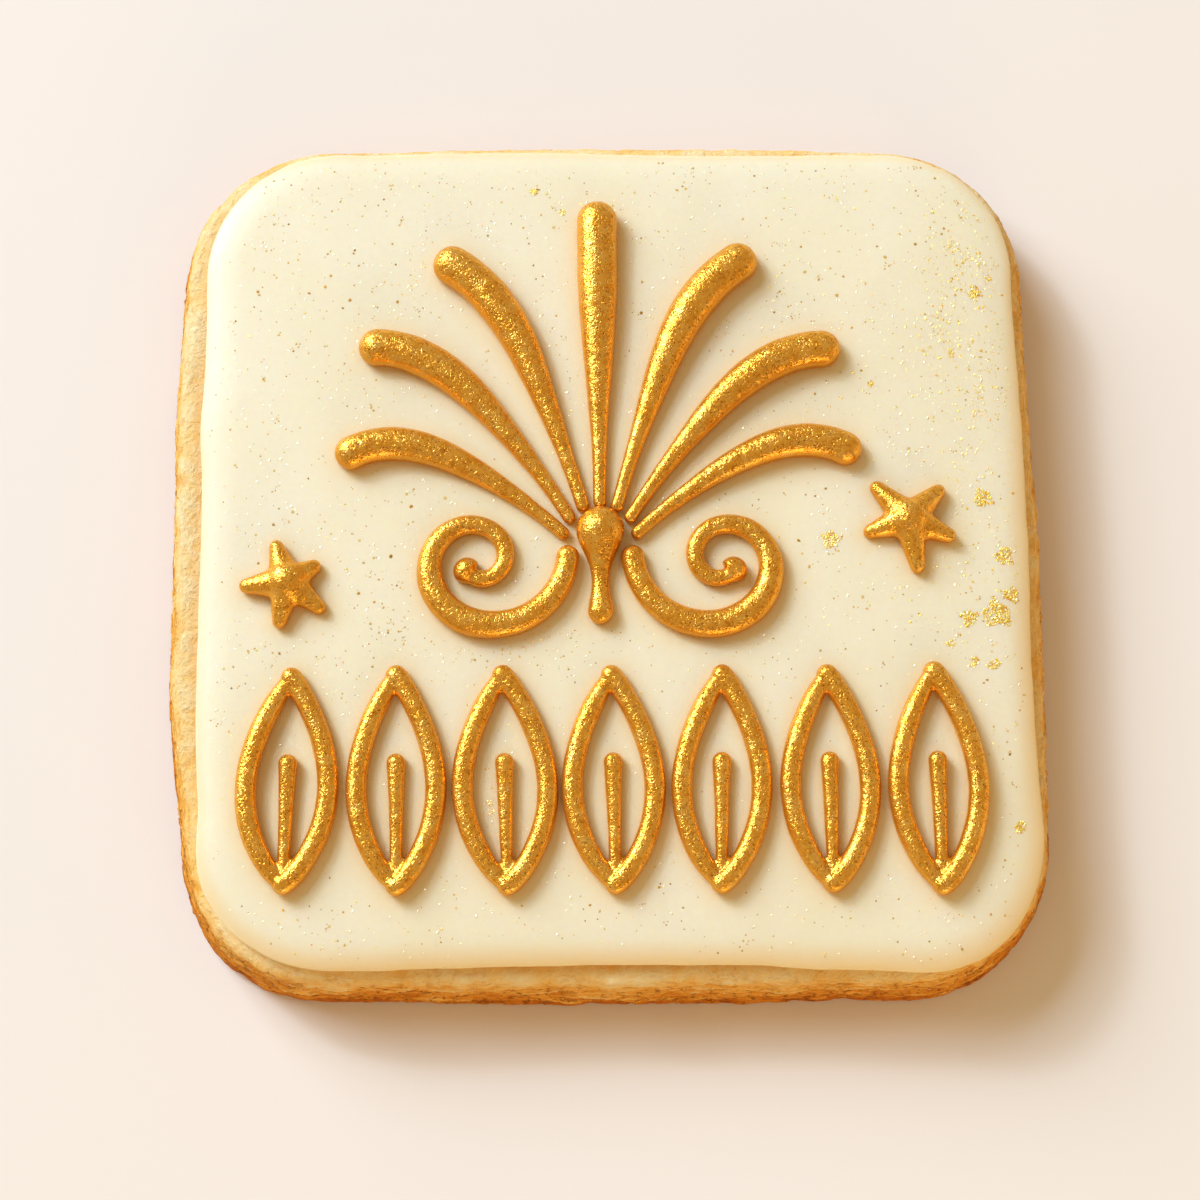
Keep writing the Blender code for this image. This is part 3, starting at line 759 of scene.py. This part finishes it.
def stroke_skin(path, radii, spacing, sides, crest=1.0):
    """Points and faces of one piped stroke: its section carried along the path.

    Over its widest line the section is half an oval, its height raised to the power crest,
    so that a crest over 1 makes a ridge.  Below, its sides drop almost straight and round in
    at the foot, as half an oval with its sideways part raised to a small power.  Each end is
    a dome: rings that shrink by the cosine while they move out by the sine.
    """
    path, radii = evenly(path, radii, spacing)
    tangents = np.gradient(path, axis=0)
    tangents /= np.linalg.norm(tangents, axis=1)[:, None]
    turn = np.linspace(0, math.pi / 2, DOME_RINGS + 1)[1:-1]
    before, after = turn[::-1], turn
    centres = np.concatenate([
        path[0] - np.outer(np.sin(before), tangents[0]) * radii[0], path,
        path[-1] + np.outer(np.sin(after), tangents[-1]) * radii[-1]])
    along = np.concatenate([
        np.repeat(tangents[:1], len(before), axis=0), tangents, np.repeat(tangents[-1:], len(after), axis=0)])
    full = np.concatenate([np.full(len(before), radii[0]), radii, np.full(len(after), radii[-1])])[:, None]
    slim = np.concatenate([np.cos(before), np.ones(len(radii)), np.cos(after)])[:, None]
    angle = -2 * math.pi * np.arange(sides) / sides
    cos, sin = np.cos(angle), np.sin(angle)
    lower = sin < 0
    across = full * slim * np.where(lower, np.sign(cos) * np.abs(cos) ** 0.45, cos)
    widest = PIPING_BASE + PIPING_LIFT * full
    drop = (widest - PIPING_FOOT) * slim ** 0.4 * sin
    height = widest + np.where(lower, drop, PIPING_FLATNESS * full * slim * np.abs(sin) ** crest)
    rows = np.stack([
        centres[:, :1] + along[:, 1:] * across, centres[:, 1:] - along[:, :1] * across, height], axis=-1)
    return closed_grid(rows)


def fuse(skins, rounds):
    """The strokes' skins joined into one by a fine voxel remesh, and relaxed a few rounds."""
    mesh = bpy.data.meshes.new("strokes")
    points, faces = [], []
    count = 0
    for skin_points, skin_faces in skins:
        points.append(skin_points)
        faces += [[corner + count for corner in face] for face in skin_faces]
        count += len(skin_points)
    mesh.from_pydata(np.concatenate(points).tolist(), [], faces)
    thing = add_object("strokes", mesh)
    remesh = thing.modifiers.new("fuse", "REMESH")
    remesh.mode = "VOXEL"
    remesh.voxel_size = FUSE_VOXEL
    relax = thing.modifiers.new("relax", "SMOOTH")
    relax.factor = 0.5
    relax.iterations = rounds
    graph = bpy.context.evaluated_depsgraph_get()
    fused = bpy.data.meshes.new_from_object(thing.evaluated_get(graph))
    bpy.data.objects.remove(thing, do_unlink=True)
    points = np.empty(len(fused.vertices) * 3, np.float32)
    fused.vertices.foreach_get("co", points)
    faces = [list(face.vertices) for face in fused.polygons]
    return points.reshape(-1, 3).astype(float), faces


def make_gold(name, skin, material, replaced):
    """One gold piece: smooth at its sides, with grain and small pits along its ridge.

    The ridge is where the skin faces upwards.  Lumps, grain and pits move each point along
    its normal, and the last two only on the ridge.
    """
    points, faces = skin
    mesh = make_mesh(name, points, faces)
    normals = np.empty(len(points) * 3, np.float32)
    mesh.vertices.foreach_get("normal", normals)
    normals = normals.reshape(-1, 3)
    ridge = ease(0.42, 0.88, normals[:, 2])
    lumps = GOLD_LUMPS[0] * noise(points, 2.2, 60) + GOLD_LUMPS[1] * noise(points, 0.8, 61)
    grain = GOLD_GRAIN[0] * noise(points, 0.34, 62) + GOLD_GRAIN[1] * noise(points, 0.2, 64)
    near, _, number, _ = crumbs(points, GOLD_PIT_SPACING, 63)
    pits = -GOLD_PIT * hill(near, 0.20) * (number > 0.55)
    moved = points + normals * (lumps + (grain + pits) * ridge)[:, None]
    mesh.vertices.foreach_set("co", (moved * MM).astype(np.float32).ravel())
    attribute = mesh.attributes.new("ridge", "FLOAT", "POINT")
    attribute.data.foreach_set("value", ridge.astype(np.float32))
    mesh.update()
    add_piece(mesh, material, [replaced])


def sow(rng, count, hills):
    """Random level places on the icing, thickest on the hills, clear of the edge.

    Each hill is its middle, its half width and half height, and its weight over the plain.
    """
    tries = rng.uniform(-38, 38, (count * 12, 2))
    weight = np.ones(len(tries))
    for x, y, wide, tall, more in hills:
        weight += more * hill(tries[:, 0] - x, wide) * hill(tries[:, 1] - y, tall)
    chance = weight / (1 + max(one[4] for one in hills))
    chosen = tries[(rng.random(len(tries)) < chance) & (icing_inset(tries) > 0.9)]
    return chosen[:count]


def on_icing(places):
    """The surface point over each level place, and the surface's normal there."""
    step = 0.02
    height = icing_height(places)
    slope_x = (icing_height(places + np.array((step, 0))) - height) / step
    slope_y = (icing_height(places + np.array((0, step))) - height) / step
    normal = np.column_stack([-slope_x, -slope_y, np.ones(len(places))])
    return np.column_stack([places, height]), normal / np.linalg.norm(normal, axis=1)[:, None]


def add_scatter(name, shapes, faces, tones, material, slot):
    """One piece from many small shapes of the same faces; each shape's points carry its tone."""
    count, corners = shapes.shape[:2]
    numbered = faces[None] + (np.arange(count) * corners)[:, None, None]
    mesh = make_mesh(name, shapes.reshape(-1, 3), numbered.reshape(-1, faces.shape[1]).tolist(),
                     {"tone": np.repeat(tones, corners)}, smooth=False)
    add_piece(mesh, material)


def uneven_sizes(rng, count, middle, spread, low, high):
    """Random sizes round a middle one, on a log scale, held between the smallest and largest."""
    return np.clip(rng.lognormal(math.log(middle), spread, count), low, high)


def dots(rng, places, radii, height, sides, lean=(0, 0, 0), varies=0.0):
    """Flat uneven plates on the icing: a ring of random reach, with a point over and under it.

    Each is tipped from the surface by the lean, more or less by chance.
    """
    centres, up = on_icing(places)
    up = up + np.array(lean) + varies * rng.normal(size=up.shape)
    up /= np.linalg.norm(up, axis=1)[:, None]
    turn = 2 * math.pi * np.arange(sides) / sides + rng.uniform(0, 2 * math.pi, (len(places), 1))
    reach = radii[:, None] * rng.uniform(0.7, 1.25, turn.shape)
    east = np.cross((0, 1, 0), up)
    east /= np.linalg.norm(east, axis=1)[:, None]
    north = np.cross(up, east)
    ring = centres[:, None] + (reach * np.cos(turn))[..., None] * east[:, None]
    ring += (reach * np.sin(turn))[..., None] * north[:, None]
    top = centres + up * (radii * height)[:, None]
    under = centres - up * (radii * height)[:, None]
    shapes = np.concatenate([ring, top[:, None], under[:, None]], axis=1)
    index = np.arange(sides)
    after = (index + 1) % sides
    over = np.column_stack([index, after, np.full(sides, sides)])
    below = np.column_stack([after, index, np.full(sides, sides + 1)])
    return shapes, np.vstack([over, below])


def crystals(rng, centres, sizes):
    """Eight-faced grains of random reach and turn, one round each centre."""
    corners = np.array([(1, 0, 0), (-1, 0, 0), (0, 1, 0), (0, -1, 0), (0, 0, 1), (0, 0, -1)], float)
    faces = np.array([(0, 2, 4), (2, 1, 4), (1, 3, 4), (3, 0, 4), (2, 0, 5), (1, 2, 5), (3, 1, 5), (0, 3, 5)])
    reach = rng.uniform(0.55, 1.3, (len(centres), 6, 1))
    turned = rng.normal(size=(len(centres), 3, 3))
    axes, _ = np.linalg.qr(turned)
    axes *= np.where(np.linalg.det(axes) < 0, -1, 1)[:, None, None]
    shapes = centres[:, None] + sizes[:, None, None] * ((corners * reach) @ axes)
    return shapes, faces


def make_specks(material, strokes):
    """Brown and gold specks in the icing, single and in small clusters."""
    rng = np.random.default_rng(11)
    places = sow(rng, SPECKS, SPECK_HILLS)
    mothers = places[rng.random(len(places)) < CLUSTER_SHARE]
    around = np.repeat(mothers, CLUSTER_SIZE, axis=0)
    places = np.concatenate([places, around + rng.normal(0, CLUSTER_REACH, around.shape)])
    places = places[(gap_to_strokes(places, strokes) > 0.15) & (icing_inset(places) > 0.8)]
    radii = uneven_sizes(rng, len(places), SPECK_RADIUS, 0.32, 0.04, 0.17)
    shapes = dots(rng, places, radii, 0.16, 7)
    add_scatter("specks", *shapes, rng.beta(1.5, 1.7, len(places)), material, "gold_icing")


def make_sparkles(material, strokes):
    """Tiny white glints of sugar and lustre, all over the icing."""
    rng = np.random.default_rng(12)
    places = sow(rng, SPARKLES, SPARKLE_HILLS)
    places = places[gap_to_strokes(places, strokes) > 0.1]
    radii = uneven_sizes(rng, len(places), SPARKLE_RADIUS, 0.3, 0.03, 0.16)
    shapes = dots(rng, places, radii, 0.12, 6, SPARKLE_LEAN, 0.08)
    add_scatter("sparkles", *shapes, rng.random(len(places)), material, "icing")


def make_gold_dust(material, strokes):
    """Loose gold dust: thick down the right, thin elsewhere, with a halo under the right star."""
    rng = np.random.default_rng(13)
    places = sow(rng, DUST, DUST_HILLS)
    trails = []
    for x, y, length, turn, count in DUST_TRAILS:
        along = rng.uniform(-0.5, 0.5, count) * length
        turned = math.radians(turn)
        line = np.column_stack([x + along * math.cos(turned), y + along * math.sin(turned)])
        trails.append(line + rng.normal(0, TRAIL_SPREAD, line.shape))
    places = np.concatenate([places, *trails])
    places = places[(gap_to_strokes(places, strokes) > 0.05) & (icing_inset(places) > 0.8)]
    sizes = uneven_sizes(rng, len(places), DUST_SIZE, 0.35, 0.03, 0.17)
    shapes = dots(rng, places, sizes, 0.14, 5, SPARKLE_LEAN, 0.28)
    add_scatter("gold_dust", *shapes, rng.random(len(places)), material, "gold_icing")


def make_gold_leaf(material):
    """Flecks of gold leaf: each a heap of crumpled plates inside an uneven round edge."""
    rng = np.random.default_rng(14)
    heaps = []
    for x, y, radius in LEAF_FLECKS:
        count = int(math.pi * (radius / LEAF_GRAIN) ** 2 * 0.62)
        turn = rng.uniform(0, 2 * math.pi, count)
        edge = 1 + 0.16 * np.sin(3 * turn + x) + 0.12 * np.sin(5 * turn + y)
        reach = radius * edge * np.sqrt(rng.random(count))
        heaps.append(np.column_stack([x + reach * np.cos(turn), y + reach * np.sin(turn)]))
    places = np.concatenate(heaps)
    sizes = LEAF_GRAIN * rng.uniform(0.75, 1.4, len(places))
    shapes = dots(rng, places, sizes, 0.22, 5, SPARKLE_LEAN, 0.34)
    add_scatter("gold_leaf", *shapes, rng.random(len(places)), material, "gold_icing")


def set_inputs(tree, node, values):
    """Give a node's inputs their values: a socket is linked, and anything else is set."""
    for name, value in values.items():
        if isinstance(value, bpy.types.NodeSocket):
            tree.links.new(value, node.inputs[name])
        else:
            node.inputs[name].default_value = value


def add_node(tree, kind, inputs=None, **settings):
    """A shader node with its settings and its inputs."""
    made = tree.nodes.new(kind)
    for name, value in settings.items():
        setattr(made, name, value)
    set_inputs(tree, made, inputs or {})
    return made


def add_ramp(tree, factor, stops):
    """A colour ramp through the stops, each a place from 0 to 1 and a linear colour."""
    ramp = add_node(tree, "ShaderNodeValToRGB", {"Fac": factor})
    elements = ramp.color_ramp.elements
    while len(elements) < len(stops):
        elements.new(0.5)
    for element, (place, colour) in zip(elements, stops):
        element.position = place
        element.color = (*colour, 1)
    return ramp.outputs["Color"]


def srgb(red, green, blue):
    """A linear colour from the 0 to 255 values that a screen shows."""
    shares = np.array([red, green, blue]) / 255
    linear = np.where(shares <= 0.04045, shares / 12.92, ((shares + 0.055) / 1.055) ** 2.4)
    return tuple(float(value) for value in linear)


def start_material(name):
    """A new material: its node tree, its shader, and Object coordinates in millimetres."""
    material = bpy.data.materials.new(name)
    material.use_nodes = True
    tree = material.node_tree
    shader = tree.nodes["Principled BSDF"]
    place = add_node(tree, "ShaderNodeTexCoord").outputs["Object"]
    scaled = add_node(tree, "ShaderNodeVectorMath", {0: place, "Scale": 1000.0}, operation="SCALE")
    return material, tree, shader, scaled.outputs["Vector"]


def add_noise(tree, place, per_mm, detail=2.0, roughness=0.5, distortion=0.0):
    """Cloudy noise, with so many clouds to the millimetre."""
    made = add_node(tree, "ShaderNodeTexNoise", {
        "Vector": place, "Scale": per_mm, "Detail": detail, "Roughness": roughness, "Distortion": distortion})
    return made.outputs["Fac"]


def add_math(tree, operation, first, second):
    """A sum, product or other joining of two values."""
    return add_node(tree, "ShaderNodeMath", {0: first, 1: second}, operation=operation).outputs["Value"]


def add_stretch(tree, place, stretch):
    """Coordinates stretched by a factor along each axis."""
    made = add_node(tree, "ShaderNodeVectorMath", {0: place, 1: stretch}, operation="MULTIPLY")
    return made.outputs["Vector"]


def add_span(tree, value, low, high, to_low=0.0, to_high=1.0):
    """The value stretched from one range to another, held at its ends."""
    made = add_node(tree, "ShaderNodeMapRange", {
        "Value": value, "From Min": low, "From Max": high, "To Min": to_low, "To Max": to_high})
    return made.outputs["Result"]


def add_mix(tree, factor, first, second):
    """The first colour at factor 0, the second at factor 1."""
    made = add_node(tree, "ShaderNodeMix", {"Factor": factor}, data_type="RGBA")
    for name, value in (("A", first), ("B", second)):
        socket = [found for found in made.inputs if found.name == name and found.type == "RGBA"][0]
        if isinstance(value, bpy.types.NodeSocket):
            tree.links.new(value, socket)
        else:
            socket.default_value = (*value, 1)
    return [found for found in made.outputs if found.type == "RGBA"][0]


def add_bump(tree, height, distance, strength=1.0, normal=None):
    """Relief of the given depth in millimetres, over an earlier bump where there is one."""
    inputs = {"Height": height, "Distance": distance * MM, "Strength": strength}
    if normal is not None:
        inputs["Normal"] = normal
    return add_node(tree, "ShaderNodeBump", inputs).outputs["Normal"]


def add_attribute(tree, name):
    """One of the numbers that a piece's mesh carries at its points."""
    return add_node(tree, "ShaderNodeAttribute", attribute_name=name).outputs["Fac"]


def biscuit_material():
    """Baked crumb: pale straw on top through golden tan to a brown foot, matt and grainy, with painted shade
    in its hollows and between its layers.
    """
    material, tree, shader, place = start_material("baked_crumb")
    bake = add_attribute(tree, "bake")
    hollow = add_attribute(tree, "hollow")
    speckle = add_noise(tree, place, 3.2, 4.0, 0.65)
    blotch = add_noise(tree, place, 0.55, 3.0)
    shift = add_span(tree, speckle, 0.0, 1.0, -0.14, 0.14)
    uneven = add_span(tree, blotch, 0.0, 1.0, -0.14, 0.14)
    browned = add_math(tree, "ADD", add_math(tree, "ADD", bake, shift), uneven)
    layers = add_noise(tree, add_stretch(tree, place, (0.7, 0.7, 3.0)), 1.0, 3.0, 0.6, 0.6)
    # Painted shade in the gaps between the layers, in the browner parts.
    gap = add_math(tree, "MULTIPLY", add_span(tree, layers, 0.42, 0.35), add_span(tree, bake, 0.22, 0.42))
    browned = add_math(tree, "ADD", browned, add_span(tree, layers, 0.35, 0.65, 0.08, -0.08))
    colour = add_ramp(tree, browned, [
        (0.0, srgb(255, 236, 184)), (0.25, srgb(255, 216, 138)), (0.5, srgb(252, 190, 82)),
        (0.75, srgb(236, 152, 28)), (1.0, srgb(198, 106, 2))])
    bend = add_node(tree, "ShaderNodeTexNoise", {"Vector": place, "Scale": 1.1, "Detail": 2.0})
    bent = add_node(tree, "ShaderNodeVectorMath", {
        0: bend.outputs["Color"], 1: (1.4, 1.4, 0.7), 2: place}, operation="MULTIPLY_ADD")
    cells = add_node(tree, "ShaderNodeTexVoronoi", {
        "Vector": add_stretch(tree, bent.outputs["Vector"], (0.55, 0.55, 1.5)), "Scale": 1.0},
        feature="DISTANCE_TO_EDGE")
    broken = add_span(tree, add_noise(tree, place, 1.4, 2.0), 0.47, 0.58)
    line = add_span(tree, cells.outputs["Distance"], 0.02, 0.085, 1.0, 0.0)
    seam = add_math(tree, "MULTIPLY", line, broken)
    seam = add_math(tree, "MULTIPLY", seam, add_span(tree, bake, 0.36, 0.66))
    # Painted shade: the hollows and the layer gaps are darkened towards a deep orange.
    hollow = add_math(tree, "MULTIPLY", hollow, 0.6)
    dark = add_math(tree, "MAXIMUM", hollow, add_math(tree, "MULTIPLY", gap, 0.35))
    colour = add_mix(tree, dark, colour, srgb(208, 122, 14))
    colour = add_mix(tree, add_math(tree, "MULTIPLY", seam, 0.7), colour, srgb(170, 92, 10))
    grain = add_bump(tree, add_noise(tree, place, 2.4, 5.0, 0.7), 0.24)
    grain = add_bump(tree, layers, 0.28, normal=grain)
    grain = add_bump(tree, add_math(tree, "SUBTRACT", 1.0, seam), 0.12, normal=grain)
    set_inputs(tree, shader, {
        "Base Color": colour, "Roughness": 0.7, "Specular IOR Level": 0.25, "Normal": grain,
        "Subsurface Weight": 0.05, "Subsurface Radius": (1.0, 0.5, 0.2), "Subsurface Scale": 0.5 * MM})
    return material


def icing_material():
    """Dried icing: ivory, satin, a little translucent, with a painted warm reflection of the gold near it and
    painted shade and bounce light at its edge.
    """
    material, tree, shader, place = start_material("ivory_icing")
    warmth = add_attribute(tree, "warmth")
    edge = add_attribute(tree, "edge")
    cloud = add_noise(tree, place, 0.09, 3.0)
    colour = add_mix(tree, add_span(tree, cloud, 0.3, 0.7), srgb(247, 242, 213), srgb(250, 246, 223))
    mottle = add_span(tree, add_noise(tree, place, 1.7, 4.0, 0.7), 0.35, 0.65, 0.0, 0.16)
    colour = add_mix(tree, mottle, colour, srgb(240, 226, 190))
    # Painted reflection of the gold's warm light near the piping.
    colour = add_mix(tree, add_math(tree, "MULTIPLY", warmth, 0.5), colour, srgb(238, 198, 108))
    # Painted shade and bounce light at the icing's edge.
    colour = add_mix(tree, add_math(tree, "MULTIPLY", edge, 0.6), colour, srgb(240, 198, 118))
    skin = add_bump(tree, add_noise(tree, place, 1.6, 3.0), 0.03, 0.5)
    set_inputs(tree, shader, {
        "Base Color": colour, "Roughness": 0.36, "Specular IOR Level": 0.45, "Normal": skin,
        "Subsurface Weight": 0.34, "Subsurface Radius": (1.0, 0.8, 0.4), "Subsurface Scale": 2.0 * MM})
    return material


def gold_material():
    """Piping painted with gold lustre: satin sides darkened to orange as painted shade, and a grainy, pitted
    ridge.
    """
    material, tree, shader, place = start_material("painted_gold")
    ridge = add_attribute(tree, "ridge")
    grain = add_noise(tree, place, 3.0, 1.0, 0.5, 1.5)
    cells = add_node(tree, "ShaderNodeTexVoronoi", {"Vector": place, "Scale": 3.4}, feature="F1")
    tone = add_noise(tree, place, 1.0, 4.0, 0.6)
    colour = add_ramp(tree, tone, [
        (0.25, srgb(240, 164, 42)), (0.5, srgb(252, 186, 66)), (0.75, srgb(255, 208, 104))])
    mottle = add_math(tree, "MULTIPLY", add_span(tree, grain, 0.46, 0.34, 0.0, 0.55), ridge)
    colour = add_mix(tree, mottle, colour, srgb(176, 102, 10))
    # Painted shade: away from the ridge the sides darken to orange, as if reflecting darker surroundings.
    side = add_math(tree, "MULTIPLY", add_math(tree, "SUBTRACT", 1.0, ridge), 0.7)
    colour = add_mix(tree, side, colour, srgb(210, 136, 10))
    chosen = add_math(tree, "GREATER_THAN", cells.outputs["Color"], 0.5)
    pit = add_math(tree, "MULTIPLY", add_span(tree, cells.outputs["Distance"], 0.16, 0.30, 1.0, 0.0), chosen)
    pit = add_math(tree, "MULTIPLY", pit, ridge)
    colour = add_mix(tree, add_math(tree, "MULTIPLY", pit, 0.85), colour, srgb(112, 58, 8))
    bump = add_bump(tree, add_math(tree, "MULTIPLY", grain, ridge), 0.07)
    bump = add_bump(tree, add_math(tree, "SUBTRACT", 1.0, pit), 0.06, 0.9, bump)
    set_inputs(tree, shader, {
        "Base Color": colour, "Metallic": 0.68, "Roughness": add_span(tree, pit, 0.0, 1.0, 0.2, 0.6),
        "Specular IOR Level": 0.3, "Specular Tint": (1.0, 0.76, 0.36, 1.0),
        "Coat Weight": 0.35, "Coat Roughness": 0.05, "Normal": bump, "Coat Normal": bump})
    return material


def speck_material():
    """Specks: brown sugar and dull gold, from pale and sunken to brown."""
    material, tree, shader, _ = start_material("brown_specks")
    colour = add_ramp(tree, add_attribute(tree, "tone"), [
        (0.0, srgb(240, 218, 158)), (0.35, srgb(222, 188, 104)), (0.7, srgb(194, 150, 58)),
        (1.0, srgb(152, 106, 26))])
    set_inputs(tree, shader, {"Base Color": colour, "Roughness": 0.6, "Specular IOR Level": 0.2})
    return material


def sparkle_material():
    """Glints: clear white sugar and mica, with a hard gloss."""
    material, tree, shader, _ = start_material("white_glints")
    colour = add_mix(tree, add_attribute(tree, "tone"), srgb(255, 236, 180), srgb(255, 250, 224))
    set_inputs(tree, shader, {
        "Base Color": colour, "Roughness": 0.22, "Specular IOR Level": 1.0,
        "Specular Tint": (1.0, 0.88, 0.6, 1.0), "Coat Weight": 1.0, "Coat Roughness": 0.1})
    return material


def leaf_material():
    """Gold leaf and dust: bright yellow foil, each grain a little different."""
    material, tree, shader, _ = start_material("gold_leaf")
    colour = add_ramp(tree, add_attribute(tree, "tone"), [
        (0.0, srgb(236, 168, 30)), (0.3, srgb(252, 206, 66)), (0.65, srgb(255, 230, 108)),
        (1.0, srgb(255, 248, 184))])
    set_inputs(tree, shader, {
        "Base Color": colour, "Metallic": 0.3, "Roughness": 0.32, "Specular IOR Level": 1.0,
        "Specular Tint": (1.0, 0.86, 0.5, 1.0)})
    return material


def floor_material():
    """A plain pale table, matt, with the slightest unevenness in its tone."""
    material, tree, shader, place = start_material("pale_table")
    colour = add_mix(tree, add_noise(tree, place, 0.008), srgb(243, 240, 236), srgb(248, 245, 241))
    set_inputs(tree, shader, {"Base Color": colour, "Roughness": 0.75, "Specular IOR Level": 0.2})
    return material


def add_floor():
    """The plain pale table, far wider than the picture."""
    corners = np.array([(-1, -1, 0), (1, -1, 0), (1, 1, 0), (-1, 1, 0)]) * FLOOR_HALF
    mesh = make_mesh("floor", corners, [[0, 1, 2, 3]], smooth=False)
    mesh.materials.append(floor_material())
    add_object("floor", mesh)


def add_light(name, place, size, power, colour):
    """A square area light that faces the cookie."""
    data = bpy.data.lights.new(name, "AREA")
    data.shape = "SQUARE"
    data.size = size
    data.energy = power
    data.color = colour
    light = add_object(name, data)
    light.location = Vector(place) * MM
    light.rotation_euler = (-light.location).to_track_quat("-Z", "Y").to_euler()
    light.visible_camera = False


def add_world():
    """Even warm light from all round."""
    world = bpy.data.worlds.new("studio")
    world.use_nodes = True
    set_inputs(world.node_tree, world.node_tree.nodes["Background"], {
        "Color": (*WORLD_COLOUR, 1), "Strength": WORLD_STRENGTH})
    bpy.context.scene.world = world


def add_camera():
    """The camera: tipped from straight down, turned round the upright, and rolled a little."""
    tilt, azimuth, roll = (math.radians(turn) for turn in (CAMERA_TILT, CAMERA_AZIMUTH, CAMERA_ROLL))
    back = Vector((math.sin(azimuth) * math.sin(tilt), -math.cos(azimuth) * math.sin(tilt), math.cos(tilt)))
    level = Vector((0, 1, 0)).cross(back).normalized()
    upward = back.cross(level)
    right = level * math.cos(roll) + upward * math.sin(roll)
    top = upward * math.cos(roll) - level * math.sin(roll)
    data = bpy.data.cameras.new("camera")
    data.lens = CAMERA_LENS
    data.sensor_width = SENSOR_WIDTH
    data.clip_start = 10 * MM
    camera = add_object("camera", data)
    turned = Matrix((right, top, back)).transposed().to_4x4()
    camera.matrix_world = Matrix.Translation(Vector(CAMERA_PLACE) * MM) @ turned
    bpy.context.scene.camera = camera
    bpy.context.scene.view_settings.view_transform = "Standard"


def make_ornament(material):
    """All the gold pieces; their strokes are returned, for the icing's painted reflection of the gold and the
    scatter.
    """
    single = {f"plume_{place + PLUMES_EACH_SIDE + 1}": plume_stroke(place)
              for place in range(-PLUMES_EACH_SIDE, PLUMES_EACH_SIDE + 1)}
    single["boss"] = boss_stroke()
    single["scroll_left"] = scroll_stroke(-1)
    single["scroll_right"] = scroll_stroke(1)
    joined = {f"leaf_{index + 1}": leaf_strokes(index) for index in range(LEAVES)}
    joined["star_left"] = star_strokes(**STAR_LEFT)
    joined["star_right"] = star_strokes(**STAR_RIGHT)
    for node, stroke in single.items():
        make_gold(f"gold_{node}", stroke_skin(*stroke, RING_SPACING, SECTION_SIDES), material, node)
    for node, strokes in joined.items():
        crest, rounds = (ARM_CREST, STAR_RELAX) if node.startswith("star") else (1.0, LEAF_RELAX)
        skins = [stroke_skin(*stroke, 2 * RING_SPACING, SECTION_SIDES // 2, crest) for stroke in strokes]
        make_gold(f"gold_{node}", fuse(skins, rounds), material, node)
    return list(single.values()) + [stroke for strokes in joined.values() for stroke in strokes]


add_floor()
for light_name, light_values in LIGHTS.items():
    add_light(light_name, *light_values)
add_world()
add_camera()
gold_strokes = make_ornament(gold_material())
glints = sparkle_material()
make_sugar_grains(glints, *make_biscuit(biscuit_material()))
make_icing(icing_material(), gold_strokes)
make_specks(speck_material(), gold_strokes)
make_sparkles(glints, gold_strokes)
leaf = leaf_material()
make_gold_dust(leaf, gold_strokes)
make_gold_leaf(leaf)
